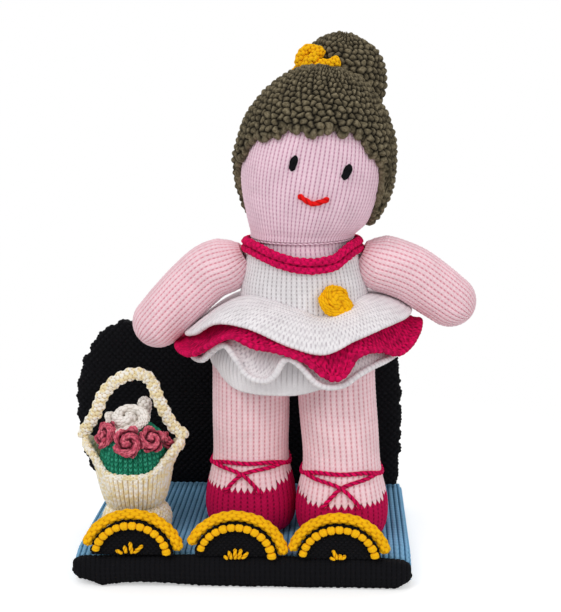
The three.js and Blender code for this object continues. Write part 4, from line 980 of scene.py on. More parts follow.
def handle():
    reach = BASKET_MOUTH_RADIUS + WING_FLARE * 0.92
    top = HANDLE_RISE - HANDLE_WIDTH / 2
    sketch = [
        (-1, 0), (-0.88, 0.17), (-0.71, 0.39), (-0.58, 0.64), (-0.32, 0.87), (0.08, 1), (0.35, 0.92),
        (0.5, 0.64), (0.63, 0.4), (0.8, 0.15), (1, 0),
    ]
    hinge = BASKET_FOOT + BASKET_HEIGHT + WING_RISE + HANDLE_THICKNESS / 2 + GAP
    foot = hinge - HANDLE_THICKNESS / 2 * 0.75
    count, sides = 420, turns(40)
    points = [(x * reach, 0, z * top + hinge) for x, z in sketch]
    path = spline([(-reach, 0, foot), *points, (reach, 0, foot)], count)
    run = np.linspace(0, length_of(path), count)
    scallop = 1 + 0.12 * np.cos(2 * np.pi * run / 6.2)
    ends = rounded_ends(count, 0.02)
    half_width = (HANDLE_WIDTH / 2 - 0.4) * scallop * ends
    grid = section(path, half_width, HANDLE_THICKNESS / 2 * ends, sides)
    relief = purl(run[:, None] / 3.3, wale(sides, 4) + 0.25, seed=4)
    basket_piece("basket_handle", solid(grid, relief, 1.3), CREAM, "cream_knit", body="handle")


# Doll: torso and legs

NECK = np.array([NECK_X, TORSO_Y, HIP_HEIGHT + TORSO_HEIGHT + FLOOR])
LEG_TOP = 117  # inside the petticoat
TORSO_FOOT = 104.5

TORSO_ROWS = [
    (0, HIP_HALF_WIDTH * 0.83, TORSO_HALF_DEPTH * 0.82, HIP_X),
    (0.05, HIP_HALF_WIDTH * 0.95, TORSO_HALF_DEPTH, HIP_X),
    (0.13, HIP_HALF_WIDTH, TORSO_HALF_DEPTH * 1.12, HIP_X),
    (0.26, HIP_HALF_WIDTH * 0.97, TORSO_HALF_DEPTH * 1.12, mix(HIP_X, TORSO_X, 0.2)),
    (0.43, mix(HIP_HALF_WIDTH, WAIST_HALF_WIDTH, 0.5), TORSO_HALF_DEPTH * 1.05, mix(HIP_X, TORSO_X, 0.6)),
    (0.6, WAIST_HALF_WIDTH * 1.03, TORSO_HALF_DEPTH, TORSO_X),
    (0.75, WAIST_HALF_WIDTH * 0.99, TORSO_HALF_DEPTH * 0.98, TORSO_X),
    (0.89, CHEST_HALF_WIDTH * 1.01, TORSO_HALF_DEPTH * 0.99, mix(TORSO_X, NECK_X, 0.3)),
    (1, NECK_BALL, NECK_BALL, NECK_X),
    *[
        (1 + NECK_BALL * sin(rise) / TORSO_HEIGHT, NECK_BALL * cos(rise), NECK_BALL * cos(rise), NECK_X)
        for rise in (18, 36, 55, 76)
    ],
]


def torso_point(angle, height, grow):
    """Point of the torso's surface at a height above the floor."""
    half_width, half_depth, x = np.moveaxis(along(TORSO_ROWS, (height - HIP_HEIGHT) / TORSO_HEIGHT), -1, 0)
    return ellipse((x, TORSO_Y, height), 0, half_width + grow, half_depth + grow, angle)


def on_floor(grid):
    return grid + np.array([0, 0, FLOOR])


def on_neck(rise):
    return NECK[0], NECK[1], NECK[2] + rise


def torso():
    ends = HIP_HEIGHT + TORSO_HEIGHT * TORSO_ROWS[-1][0]
    heights = np.concatenate([
        np.arange(TORSO_FOOT, 112, 0.8), np.arange(112, 174, 4.0), np.arange(174, 206, 0.6),
        np.linspace(206, ends, 10),
    ])[:, None]
    angle, across = wales(64)
    tuck = 9 * smoothstep(LEG_TOP + 2 - heights, 0, 8)  # behind the tops of the legs
    room = 0.7 * smoothstep(heights, 184, 190)  # for the neck thread to slide on the ball
    grid = on_floor(torso_point(angle, heights, -SKIN_SINK - tuck - room))
    stuffed("torso", solid(grid, stocking(across, heights / COURSE), 0.7), FACE_PINK)


LEG_ROWS = [
    (0, SHOE_HALF_WIDTH * 0.72, SHOE_HALF_LENGTH * 0.74, 1),
    (0.04, SHOE_HALF_WIDTH * 0.9, SHOE_HALF_LENGTH * 0.91, 1),
    (0.12, SHOE_HALF_WIDTH * 0.99, SHOE_HALF_LENGTH, 1),
    (0.21, SHOE_HALF_WIDTH, SHOE_HALF_LENGTH, 0.95),
    (0.3, SHOE_HALF_WIDTH * 0.95, SHOE_HALF_LENGTH * 0.97, 0.7),
    (0.4, LEG_RADIUS * 1.04, LEG_RADIUS * 1.05, 0.3),
    (0.5, LEG_RADIUS, LEG_RADIUS, 0),
    (0.72, LEG_RADIUS * 1.01, LEG_RADIUS * 1.01, 0),
    (0.88, LEG_RADIUS * 1.01, LEG_RADIUS * 1.02, 0),
    (1, LEG_RADIUS, LEG_RADIUS, 0),
]


def leg_point(foot, angle, height, grow):
    share = height / LEG_LENGTH
    half_width, half_depth, forward = np.moveaxis(along(LEG_ROWS, share), -1, 0)
    to_hip = smoothstep(share, 0.4, 1)
    x = mix(foot["x"], foot["hip_x"], to_hip)
    y = mix(foot["y"], foot["hip_y"], to_hip) - SHOE_FORWARD * forward
    return ellipse((x, y, height), 0, half_width + grow, half_depth + grow, angle)


LEG_WALES = 42
LEG_COURSE = 2.75


# Drop of the shoe's edge at its front, left and right; rise of the ribbon and of the crossing; turn
SHOE_LOOKS = {
    "left": dict(drop=(0, 5, 0), ribbon=0.8, crossing=2.7, turn=-7),
    "right": dict(drop=(5, 6, 8), ribbon=-1.6, crossing=-1.2, turn=0),
}


def shoe_top(drop, across):
    """Course at which the shoe's colour ends, rising and falling with each stitch."""
    middle = (np.floor(across) + 0.5) / LEG_WALES * 360 - 180
    toward_back = (1 - cos(middle)) / 2
    height = mix(SHOE_FRONT_HEIGHT - 2, SHOE_BACK_HEIGHT, toward_back)
    aside = np.where(middle < 0, drop[1], drop[2])
    height -= mix(drop[0], aside, sin(middle) ** 2) * (1 - smoothstep(toward_back, 0.5, 0.9))
    half = 2 * np.abs(across - np.floor(across) - 0.5)
    return np.round(height / LEG_COURSE) + 1.3 * half - 0.65


def legs():
    for name, foot in FEET.items():
        angle, across = wales(LEG_WALES)
        edge = shoe_top(SHOE_LOOKS[name]["drop"], across)
        course = steps(210, 0, LEG_TOP / LEG_COURSE)
        height = np.maximum(course * LEG_COURSE, 0.02)
        hidden = -1.7 * smoothstep(edge - course, 0.0, 0.5)  # inside the shoe
        top = -7 * np.clip((height - LEG_TOP + 3) / 3, 0, 1) ** 2
        grid = on_floor(leg_point(foot, angle, height + 0 * angle, hidden + top - SKIN_SINK))
        grid[..., 2] = np.maximum(grid[..., 2], FLOOR + 1.8)
        stuffed(f"leg_{name}", solid(grid, stocking(across, course), 1.2), LEG_PINK)

        course = steps(110) * edge
        outer = leg_point(foot, angle, course * LEG_COURSE, -0.15)
        inside = np.maximum(steps(14, 1, 0.05) * edge * LEG_COURSE, 1.4)
        inner = leg_point(foot, angle, inside, -1.5)
        relief = stocking(across, course)
        relief = np.vstack([relief, np.repeat(relief[-1:] * 0.5, len(inner), axis=0)])
        shoe = solid(on_floor(np.concatenate([outer, inner])), relief, 1.0, foot=FLOOR)
        piece(f"shoe_{name}", [shoe], SHOE_CRIMSON, "crimson_knit")


def ankle_ribbons():
    for name, foot in FEET.items():
        looks = SHOE_LOOKS[name]
        crossing = LACE_CROSSING + looks["crossing"]
        end = SHOE_FRONT_HEIGHT - looks["drop"][0]

        def ring_height(angle):
            return RIBBON_HEIGHT + looks["ribbon"] - 1.5 * cos(angle) - 7 * sin(angle) ** 4

        angle = turns(360)
        pulled_tight = RIBBON_YARN * (0.2 + 0.6 * cos(angle) ** 2)
        line = on_floor(leg_point(foot, angle, ring_height(angle), pulled_tight))
        ahead = ahead_round(line)
        away = unit(np.cross(ahead, (0, 0, 1)))
        parts = [yarn_ring(line, away, np.cross(away, ahead), RIBBON_YARN, 42, 12, 0.5)]
        for side in (-1, 1):
            places = [
                (-58, ring_height(-58), 0), (-36, mix(ring_height(-36), crossing, 0.45), 0.5),
                (0, crossing, 1), (14, mix(crossing, end, 0.6), 1), (24, end - 2.5, 1),
            ]
            lift = RIBBON_YARN + (0.9 if side > 0 else 0.1)
            points = [
                on_floor(leg_point(foot, side * a + looks["turn"] * t, h, lift))
                for a, h, t in places
            ]
            parts.append(yarn_tube(points, RIBBON_YARN * 0.95, pitch=4.2))
        piece(f"ankle_ribbon_{name}", parts, CRIMSON, "crimson_knit")


# Dress, with heights above the floor by angle

COLLAR_LINE = [
    (-180, 189), (-135, 190.5), (-90, 191), (-62, 191.5), (-47, 190), (-33, 187.5), (-20, 185), (-2, 182.3),
    (15, 181.8), (33, 183.4), (47, 187.5), (62, 190.5), (90, 190.8), (135, 190.5),
]
SEAM_LINE = [
    (-180, 157), (-90, 158.5), (-48, 161), (-25, 158.5), (0, 153.5), (15, 149.5), (35, 152.5), (60, 158),
    (90, 158), (135, 157.5),
]
TOP_HEM = [
    (-180, 139), (-150, 145), (-120, 137), (-90, 133.5), (-62, 138), (-42, 148), (-22, 147), (0, 136),
    (15, 132), (30, 139), (50, 145), (75, 147.5), (90, 148.5), (120, 141), (150, 147),
]
MIDDLE_HEM = [
    (-180, 131), (-150, 138), (-120, 129), (-90, 127), (-70, 125), (-55, 126), (-42, 134), (-30, 141),
    (-18, 136), (-5, 133), (5, 127.5), (15, 117), (22, 117.5), (29, 129), (40, 131.5), (55, 127), (75, 135),
    (90, 141), (120, 134), (150, 140),
]
BOTTOM_HEM = [
    (-180, 122), (-150, 130), (-120, 121), (-90, 123.5), (-70, 121), (-57, 122), (-48, 129), (-38, 134),
    (-31, 126), (-25, 117), (-15, 114), (-10, 118), (-5, 127.5), (1, 126), (12, 112), (24, 110.5), (33, 116),
    (42, 120), (55, 123), (68, 126), (90, 130.5), (120, 126), (150, 132),
]
PETTICOAT_HEM = [
    (-180, 110), (-130, 112), (-100, 115), (-66, 113.8), (-54, 108.5), (-42, 104.2), (-29, 102.8),
    (-14, 102.8), (5, 103.6), (25, 108), (43, 112.5), (60, 114.5), (90, 115), (130, 112),
]


TOP_TIER = dict(layer=0, reach=TOP_REACH, hem=TOP_HEM, above=None)
MIDDLE_TIER = dict(layer=1, reach=MIDDLE_REACH, hem=MIDDLE_HEM, above=TOP_TIER)
BOTTOM_TIER = dict(layer=2, reach=BOTTOM_REACH, hem=BOTTOM_HEM, above=MIDDLE_TIER)


def under_left_arm(angle):
    return bell(angle + 88, 34)


def fall(tier, share, angle):
    """Share of a tier's drop at a share of its reach."""
    if tier is TOP_TIER:
        return share ** mix(2.3, 1.35, under_left_arm(angle))
    return smoothstep(share, 0, 1) ** 1.15


def soft_min(a, b, corner=2):
    share = np.clip(0.5 + (b - a) / (2 * corner), 0, 1)
    return mix(b, a, share) - corner * share * (1 - share)


def seam_height(tier, angle):
    return around(SEAM_LINE, angle) - 2.5 * under_left_arm(angle) - tier["layer"] * TIER_STEP


def tier_reach(tier, angle):
    hem = ellipse((SKIRT_X, TORSO_Y, 0), 0, *tier["reach"], angle)
    seam = torso_point(angle, seam_height(tier, angle), 3 * EASE)
    seam[..., 2] = 0
    return seam, hem, np.linalg.norm(hem - seam, axis=-1)


def tier_height(tier, angle, distance):
    """Middle of a tier's cloth at a distance out from its seam, always under the tier above it."""
    share = np.minimum(1, distance / tier_reach(tier, angle)[2])
    own = mix(seam_height(tier, angle), around(tier["hem"], angle), fall(tier, share, angle))
    if tier["above"] is None:
        return own
    limit = tier_height(tier["above"], angle, distance) - CLOTH - TIER_GAP
    return soft_min(own, limit)


def tier_grid(tier, columns, rows):
    angle = turns(columns)
    seam, hem, distance = tier_reach(tier, angle)
    share = steps(rows)
    grid = mix(seam, hem, share[..., None])
    grid[..., 2] = tier_height(tier, angle + 0 * share, distance * share)
    return on_floor(grid), angle, share


def skirt():
    # Tier, yarn, slot, stitches round, height of a row, stitch depth, hem's thickness, and the
    # flat cloth's size and area in metres
    looks = {
        "top": (TOP_TIER, WHITE, "white_knit", 160, 3.6, 0.7, 1.35, (0.40, 0.036), 0.0088),
        "middle": (MIDDLE_TIER, CRIMSON, "crimson_knit", 120, 5.0, 1.5, 1.3, (0.44, 0.043), 0.0126),
        "bottom": (BOTTOM_TIER, WHITE, "white_knit", 150, 4.0, 0.75, 1.9, (0.42, 0.04), 0.0108),
    }
    for name, (tier, material, slot, stitches, row, depth, hem, flat, area) in looks.items():
        grid, angle, share = tier_grid(tier, stitches * 7, 96)
        distance = np.linalg.norm(grid[-1] - grid[0], axis=-1) * share
        relief = purl(wale(angle, stitches), distance / row, seed=tier["layer"])
        relief = mix(relief, 0.85, 0.2 * smoothstep(share, 0.95, 1))
        frill = cloth(grid, CLOTH, relief, depth, hem=hem)
        made = piece(f"skirt_{name}_tier", [frill], material, slot)


def petticoat():
    angle, across = wales(104)
    share = steps(84)
    top = seam_height(BOTTOM_TIER, angle) - TIER_STEP - CLOTH / 2
    height = mix(top, around(PETTICOAT_HEM, angle), share)
    on_body = torso_point(angle, height, 2 * EASE + CLOTH / 2)
    half_width, half_depth = PETTICOAT_REACH
    tuck = 3 * smoothstep(share, 0.72, 1.05) ** 1.5
    half_width, half_depth = half_width - CLOTH / 2 - tuck, half_depth - CLOTH / 2
    flared = ellipse((HIP_X, TORSO_Y, height), 0, half_width, half_depth, angle)
    grid = mix(on_body, flared, smoothstep(share, 0, 0.9)[..., None])
    relief = 0.3 + 0.7 * stocking(across, share * 18)
    lining = cloth(on_floor(grid), CLOTH, relief, 0.5, hem=1.35)
    made = piece("petticoat", [lining], SOFT_WHITE, "white_knit")


def bodice():
    angle, across = wales(76)
    foot = seam_height(TOP_TIER, angle) + CLOTH / 2
    top = around(COLLAR_LINE, angle) - 2.4  # behind the collar
    height = mix(foot, top, steps(96))
    grid = on_floor(torso_point(angle, height, EASE + CLOTH / 2))
    sheet = cloth(grid, CLOTH * 0.9, stocking(across, height / 2.5), 0.8)
    made = piece("bodice", [sheet], SOFT_WHITE, "white_knit")


def collar():
    """Two ridges with a furrow between them, narrower over the shoulders and behind."""
    angle, across = wales(56, 12)
    half = COLLAR_HEIGHT / 2 * (0.98 + 0.12 * cos(angle))
    height = around(COLLAR_LINE, angle)
    shape = [
        (0, -0.9), (0.45, -1.02), (0.85, -0.9), (1.08, -0.62), (1.1, -0.4), (1.0, -0.14), (0.92, 0.02),
        (1.0, 0.16), (1.12, 0.42), (1.1, 0.66), (0.85, 0.92), (0.45, 1.04), (0, 0.92),
    ]
    rows = 64
    loop = spline([(out, 0, up) for out, up in shape], rows)
    out, up = loop[:, :1], loop[:, 2:]
    grid = torso_point(angle, height + up * half, EASE + CLOTH * 0.9 + out * COLLAR_THICKNESS * 1.1)
    knots = purl(across, steps(rows, 0, 4), 0.6, 0.44, seed=8)
    # Painted shade: the relief is lowered in the furrow and on the inner side against the bodice, so the
    # yarn's deep colour darkens them; this also sinks them a little
    furrow = 1 - 0.55 * bell(up, 0.13)
    band = solid(on_floor(grid), knots * smoothstep(out, 0, 0.3) * furrow, 1.5, wrap_rows=True)
    piece("collar", [band], CRIMSON, "crimson_knit")


def rosette():
    place = on_floor(torso_point(ROSETTE_TURN, ROSETTE_HEIGHT, EASE + CLOTH))
    # The rosette's folds take only a little painted shade
    flower = ruffle(
        ROSETTE_RADIUS - 1.6, 7.4, 4.4,
        lobes=3, frill=0.07, folds=1.3, fold_depth=1.2, fold_shade=0.3, wide=1.38,
    )
    away = (sin(ROSETTE_TURN), -cos(ROSETTE_TURN), 0.12)
    part = moved(flower, facing(away), place + [-2.4, 0, -3.4])
    piece("waist_rosette", [part], GOLD, "gold_knit")


# Head

CREASE = NECK + np.array([0, 0, NECK_RISE])
LIP_WIDTH = (NECK_BALL + 1.2) / HEAD_HALF_WIDTH
HEAD_ROWS = [
    (0, LIP_WIDTH, 0), (0.03, LIP_WIDTH * 1.015, 0.15), (0.07, 0.79, 0.4), (0.12, 0.845, 0.7),
    (0.2, 0.922, 0.95), (0.3, 0.982, 1), (0.4, 1, 1), (0.5, 0.993, 1), (0.6, 0.955, 1),
    (0.7, 0.878, 1), (0.79, 0.752, 1), (0.87, 0.595, 1), (0.935, 0.42, 1), (0.975, 0.25, 1),
    (1, 0.07, 1),
]


def head_point(angle, share, grow):
    width, lean = np.moveaxis(along(HEAD_ROWS, share), -1, 0)
    length = share * HEAD_LENGTH + grow * smoothstep(share, 0.35, 1)
    x = CREASE[0] + length * sin(HEAD_LEAN)
    z = CREASE[2] + length * cos(HEAD_LEAN)
    half = HEAD_HALF_WIDTH * width
    round_it = mix(1, HEAD_ROUNDNESS, smoothstep(share, 0, 0.3))
    return ellipse((x, CREASE[1], z), HEAD_LEAN * lean, half + grow, half * round_it + grow, angle)


FACE_WALES = 98
FACE_COURSE = 2.35


def head():
    hidden = 18  # wales at the back, under the hair, on each side of its middle
    columns = np.arange(hidden * FINE, (FACE_WALES - hidden) * FINE + 1)
    fine = columns * 360 / FACE_WALES / FINE - 180
    angle = np.append(fine, np.arange(fine[-1] + 6, fine[0] + 358, 6.0))[None, :]
    share = np.append(np.arange(0, 0.76, 0.0046), np.linspace(0.77, 1, 14))[:, None]
    face = head_point(angle, share + 0 * angle, -0.3)
    seat = NECK_BALL + 0.8
    rise = steps(14, 11, 82)
    out = seat * cos(rise)
    hollow = ellipse(on_neck(seat * sin(rise)), 0, out, out, angle)
    relief = stocking(wale(angle, FACE_WALES), share * HEAD_LENGTH / FACE_COURSE)
    relief = np.vstack([np.full(hollow.shape[:2], 0.5), relief])
    form = solid(np.concatenate([hollow[::-1], face]), relief, 1.0)
    stuffed("head", form, FACE_PINK, body="head")


HAIR_EDGE = [
    (-180, 16), (-150, 15), (-125, 13), (-109, 10), (-100, 14), (-93, 29), (-86, 39), (-75, 43), (-66, 47),
    (-57, 58), (-46, 58.5), (-34, 62), (-25, 66.5), (-10, 66.5), (-1, 66), (6, 70.5), (18, 69), (30, 71),
    (41, 64), (49, 58.5), (59, 56), (65, 46), (70, 30), (76, 19), (90, 16), (125, 15),
]


def hair():
    """A knitted cap over the crown, back and temples, thicker than the skin."""
    stitches = 56
    angle, across = wales(stitches, 12)
    edge = around(HAIR_EDGE, angle) / HEAD_LENGTH
    edge = edge + 0.011 * np.cos(np.radians(angle) * stitches / 2)
    place = steps(240)
    share = mix(edge, 1, place)
    swell = along([(0, 0.8), (0.04, 1.05), (0.12, 1), (1, 1)], place)[..., 0]
    thick = (HAIR_THICKNESS - 0.6) * swell * mix(0.62, 1, smoothstep(share, 0.15, 0.45))
    outer = head_point(angle, share, GAP + thick)
    hems = ((0.004, 0.12), (0.014, 0.36), (0.014, 0.66), (0.008, 0.86))
    lip = [head_point(angle, edge - drop, thick[0] * out) for drop, out in hems]
    inner = head_point(angle, mix(edge, 1, steps(18, 1, 0.02)), 0.5)
    down = np.linalg.norm(np.diff(outer, axis=0, append=outer[-1:]), axis=-1)[::-1]
    row = np.cumsum(down, axis=0)[::-1] / HAIR_ROW  # counted from the crown, as the cap is knitted
    uneven = 0.14 * np.sin(row * 9 + angle / 3.1) + 0.1 * np.sin(row * 5 - angle / 1.7)
    rise = row + 0.07 * np.sin(angle / 3 + row)
    knots = purl(across + uneven, rise, 0.6, 0.35, seed=11)
    edge_knots = np.repeat(0.35 + 0.65 * knots[4:5], len(lip), axis=0)
    relief = np.vstack([np.full(inner.shape[:2], 0.4), edge_knots, knots])
    cap = solid(np.concatenate([inner, *lip, outer]), relief, 4.0)
    piece("hair", [cap], BROWN, "brown_knit", body="head")


def on_head(across, back, up):
    x = CREASE[0] + across * cos(HEAD_LEAN) + up * sin(HEAD_LEAN)
    z = CREASE[2] - across * sin(HEAD_LEAN) + up * cos(HEAD_LEAN)
    return np.array([x, CREASE[1] + back, z])


def bun():
    centre = on_head(*BUN_PLACE)
    tilt = steps(150, 4, 176)
    angle, across = wales(28, 10)
    heading = ellipse((0, 0, -cos(tilt)), 0, sin(tilt), sin(tilt), angle)
    bulges = [((-0.62, 0, 0.78), 3.6), ((0.8, 0, -0.6), 5.0), ((0.1, -0.6, 0.8), -1.2), ((-0.2, 1, 0.1), 1.5)]
    swell = sum(size * np.exp(-((1 - heading @ unit(np.array(way))) / 0.16)) for way, size in bulges)
    radius = (BUN_RADIUS - 0.9 + 0.7 * np.sin(np.radians(4 * angle) + tilt / 14) + swell)[..., None]
    grid = centre + radius * heading * [1, 1, 1.02]
    row = tilt / 180 * np.pi * BUN_RADIUS / HAIR_ROW
    uneven = 0.14 * np.sin(row * 9 + angle / 9) + 0.1 * np.sin(row * 5 - angle / 5)
    rise = row + angle / 360 + 0.07 * np.sin(angle / 7 + row)
    knot = solid(grid, purl(across + uneven, rise, 0.6, 0.35, seed=21), 4.0)
    piece("hair_bun", [knot], BROWN, "brown_knit", body="head", fill=0.8)


# Strips of the bow, from the bun's middle: their points, half width and half thickness
BOW = [
    ([
        (-32, -13, 1), (-28, -17, 5), (-27, -18, 10), (-23.5, -19, 15.5), (-18, -19, 14.5),
        (-14, -20, 11),
    ], 3.5, 3.2),
    ([(-18, -22, 13.5), (-20, -25, 10), (-24, -24, 6), (-26, -21, 1)], 3.2, 3.0),
    ([(-22, -22, 5.5), (-16, -25, 5.5), (-9, -26, 6.5), (-3.5, -26, 8.5)], 3.4, 3.2),
]


def bun_band():
    """A twisted strip round the bun's base, with a knotted bow at its front."""
    centre = on_head(*BUN_PLACE)
    root = on_head(BUN_PLACE[0] * 0.5, BUN_PLACE[1] * 0.45, BUN_PLACE[2] * 0.6)
    away = unit(centre - root)
    side = across_to(np.array([1, 0, 0]), away)
    front = np.cross(side, away)
    middle = centre - away * 0.42 * BUN_RADIUS
    angle, sides = turns(240), turns(24)
    out = side * sin(angle)[:, None] + front * cos(angle)[:, None]
    toward_right = 0.45 * smoothstep(sin(angle), 0.2, 0.9)
    line = middle + out * (BUN_RADIUS * 0.95 - 6 * toward_right)[:, None]
    size = (BAND_YARN - 0.5) * (1 + 0.12 * cos(6 * angle) - toward_right)
    relief = purl(wale(angle, 40)[:, None], wale(sides, 4), seed=5)
    parts = [solid(rings(line, out, away, size, size, sides), relief, 1.2, wrap_rows=True)]
    count, sides = 150, turns(36)
    for points, wide, thick in BOW:
        line = spline(centre + np.array(points), count)
        share = np.linspace(0, 1, count)
        ends = rounded_ends(count, 0.12)
        width = wide * ends * (1 + 0.16 * np.sin(11 * share + wide))
        strip = section(line, width, thick * ends, sides, up=(0, -1, 0.3))
        knots = purl(share[:, None] * length_of(line) / 3.2, wale(sides, 4), seed=thick)
        parts.append(solid(strip, knots, 1.5))
    piece("bun_band", parts, GOLD, "gold_knit", body="head")


def face():
    """Upright black stitches for the eyes and two red ones for the mouth."""
    def at(angle, height, grow):
        return head_point(FACE_TURN + angle, height / HEAD_LENGTH, grow)

    for name, side, slant, wide in (("eye_left", -1, 0.55, 1.0), ("eye_right", 1, 1.5, 1.15)):
        middle = side * EYE_SPREAD + 0.6 * (side + 1) / 2
        strands = []
        for aside, size, grow in ((-1.45, 0.82, 0.75), (0, 1, 0.95), (1.45, 0.84, 0.75)):
            half = EYE_LENGTH / 2 * size
            points = []
            for share in (-1, -0.5, 0, 0.5, 1):
                end = abs(share) == 1
                turn = middle + aside * wide * (0.6 if end else 1) + slant * share
                points.append(at(turn, EYE_HEIGHT + half * share, 0.1 if end else grow))
            strands.append(yarn_tube(points, 1.05 * wide, pitch=5, sides=10, step=0.3, end=1.6))
        piece(name, strands, BLACK, "black_knit", body="head")
    stitches = []
    for side, lift in ((-1, MOUTH_RISE), (1, MOUTH_RISE * 1.25)):
        near, far = -0.8 * side - 1, side * MOUTH_SPREAD - 1
        places = ((near, -0.2, 0.9), (mix(near, far, 0.5), lift * 0.4, 0.9), (far, lift, 0.4))
        points = [at(angle, MOUTH_HEIGHT + height, grow) for angle, height, grow in places]
        stitches.append(yarn_tube(points, 1.5, pitch=4.6, step=0.3, end=1.5))
    piece("mouth", stitches, RED, "red_thread", body="head")


def neck_thread():
    """The thread that gathers the neck lies just under the head's lower edge."""
    thread, rise = 0.6, NECK_RISE - 1.0
    out = np.sqrt((NECK_BALL + thread) ** 2 - rise**2)
    centre = on_neck(rise)
    line = ellipse(centre, 0, out, out, turns(300))
    ring = yarn_ring(line, unit(line - centre), (0, 0, 1), thread, 60, 8, 0.25)
    piece("neck_thread", [ring], FACE_PINK, "pink_knit", body="neck")


# Arms

ARM_SIZES = [(0, 0.5), (0.07, 0.78), (0.18, 0.97), (0.4, 1), (0.8, 0.97), (1, 0.92)]
ARM_WALES = 33


def arms():
    for name, arm in ARMS.items():
        side = arm["side"]
        shoulder = np.array([arm["x"], SHOULDER_Y, arm["z"]])
        count = 170
        line = spline([shoulder + np.array([side * out, 0, up]) for out, up in arm["line"]], count)
        size = ARM_RADIUS * along(ARM_SIZES, np.linspace(0, 1, count))[:, 0]
        heading = unit(np.gradient(line, axis=0))
        ahead = heading[-1]
        tilt = np.linspace(0, 88, 34)[1:]
        tip = line[-1] + ahead * (size[-1] * sin(tilt))[:, None]
        path = np.vstack([line, tip])
        radius = np.append(size, size[-1] * cos(tilt)) - SKIN_SINK
        angle = turns(ARM_WALES * FINE)
        heading = np.vstack([heading, np.tile(ahead, (len(tip), 1))])
        across = xyz(heading[:, 2], 0, -heading[:, 0])
        grid = rings(path, (0, -1, 0), across, 0.96 * radius, radius, angle)
        run = np.append(0, np.cumsum(np.linalg.norm(np.diff(path, axis=0), axis=1)))
        arc = run + np.append(np.zeros(count), size[-1] * (np.radians(tilt) - sin(tilt)))
        relief = stocking(wale(angle, ARM_WALES), arc[:, None] / 2.7)

        # Where the arm is sewn on, it lies against the bodice
        centre = np.array([TORSO_X, TORSO_Y])
        flat = grid[..., :2] - centre
        turned = np.degrees(np.arctan2(flat[..., 0], -flat[..., 1]))
        wall = torso_point(turned, grid[..., 2], EASE + CLOTH - 0.4)
        wall_radius = np.linalg.norm(wall[..., :2] - centre, axis=-1)
        own = np.linalg.norm(flat, axis=-1)
        inside = own < wall_radius
        grid[..., :2] = np.where(inside[..., None], wall[..., :2], grid[..., :2])
        relief = np.where(inside, 0.5, relief)
        form = solid(on_floor(grid), relief, 1.2)
        made = build(f"arm_{name}", [form], ARM_PINK)
        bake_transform(made)
        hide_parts(f"arm_{name}_skin", f"arm_{name}_filling")


# Camera, light and the floor below


def camera():
    yaw, pitch, roll = CAMERA_YAW, CAMERA_PITCH, CAMERA_ROLL
    ahead = np.array([-sin(yaw) * cos(pitch), cos(yaw) * cos(pitch), -sin(pitch)])
    right = np.array([cos(yaw), sin(yaw), 0])
    up = np.cross(right, ahead)
    turned_right = right * cos(roll) + up * sin(roll)
    turned_up = up * cos(roll) - right * sin(roll)
    data = bpy.data.cameras.new("camera")
    data.lens = CAMERA_LENS
    data.sensor_width = 36
    data.clip_start, data.clip_end = 0.01, 20
    made = bpy.data.objects.new("camera", data)
    bpy.context.scene.collection.objects.link(made)
    columns = np.eye(4)
    columns[:3, 0], columns[:3, 1], columns[:3, 2] = turned_right, turned_up, -ahead
    columns[:3, 3] = np.array(CAMERA_PLACE) * MM
    made.matrix_world = Matrix(columns.tolist())
    bpy.context.scene.camera = made


def lamp(name, place, aim, size, watts):
    data = bpy.data.lights.new(name, "AREA")
    data.shape = "DISK"
    data.size = size
    data.energy = watts
    made = bpy.data.objects.new(name, data)
    bpy.context.scene.collection.objects.link(made)
    made.location = place
    direction = Vector(aim) - Vector(place)
    made.rotation_euler = direction.to_track_quat("-Z", "Y").to_euler()


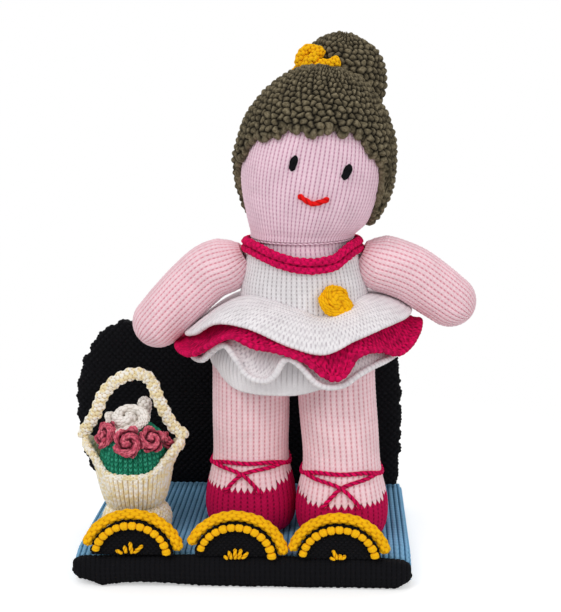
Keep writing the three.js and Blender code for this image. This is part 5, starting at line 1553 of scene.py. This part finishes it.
def surroundings():
    scene = bpy.context.scene
    scene.view_settings.view_transform = "Standard"
    world = bpy.data.worlds.new("world")
    scene.world = world
    world.use_nodes = True
    tree = world.node_tree
    white = (1, 1, 1, 1)
    rays = {k: output(tree, "LightPath", f"Is {kind} Ray") for k, kind in enumerate(("Camera", "Glossy"))}
    ambient = tree.nodes["Background"]
    feed(tree, ambient, {"Color": white, "Strength": AMBIENT_LIGHT})
    backgrounds = {
        0: output(tree, "Math", 0, rays, operation="MAXIMUM"),
        1: ambient.outputs[0],
        2: output(tree, "Background", 0, {"Color": white}),
    }
    feed(tree, tree.nodes["World Output"], {"Surface": output(tree, "MixShader", 0, backgrounds)})
    lamp("key", (-0.55, -0.95, 1.15), (0.0, 0.0, 0.15), 0.9, 7.0)
    lamp("fill", (0.95, -0.85, 0.7), (0.02, 0.0, 0.15), 0.9, 3.2)
    lamp("rear", (0.1, 1.0, 0.9), (0.0, 0.0, 0.2), 0.8, 2.5)

    # The ground is pale and fades out round the stage
    mesh = bpy.data.meshes.new("ground")
    corners = [(x * GROUND_REACH, y * GROUND_REACH, 0) for x, y in ((-1, -1), (1, -1), (1, 1), (-1, 1))]
    mesh.from_pydata(corners, [], [(0, 1, 2, 3)])
    ground = bpy.data.objects.new("ground", mesh)
    scene.collection.objects.link(ground)
    ground.location.z = -0.2 * MM
    pale = bpy.data.materials.new("ground")
    pale.use_nodes = True
    tree = pale.node_tree
    shader = tree.nodes["Principled BSDF"]
    seen = {0: output(tree, "LightPath", "Is Camera Ray"), 1: GROUND_GLOW}
    feed(tree, shader, {
        "Base Color": (0.9, 0.9, 0.9, 1),
        "Roughness": 0.9,
        "Specular IOR Level": 0.0,
        "Emission Color": white,
        "Emission Strength": output(tree, "Math", 0, seen, operation="MULTIPLY"),
    })
    place = {0: output(tree, "TexCoord", "Object")}
    away = output(tree, "VectorMath", "Value", place, operation="LENGTH")
    faded = {
        0: ranged(tree, away, *GROUND_FADE),
        1: shader.outputs["BSDF"],
        2: output(tree, "BsdfTransparent", "BSDF"),
    }
    feed(tree, tree.nodes["Material Output"], {"Surface": output(tree, "MixShader", 0, faded)})
    mesh.materials.append(pale)


camera()
surroundings()
stage_floor()
stage_underside()
front_band()
backdrop()
for number in (1, 2, 3):
    footlight(number)
pedestal()
basket_body()
foliage()
flowers()
handle()
torso()
legs()
ankle_ribbons()
skirt()
petticoat()
bodice()
collar()
rosette()
head()
hair()
bun()
bun_band()
face()
neck_thread()
arms()
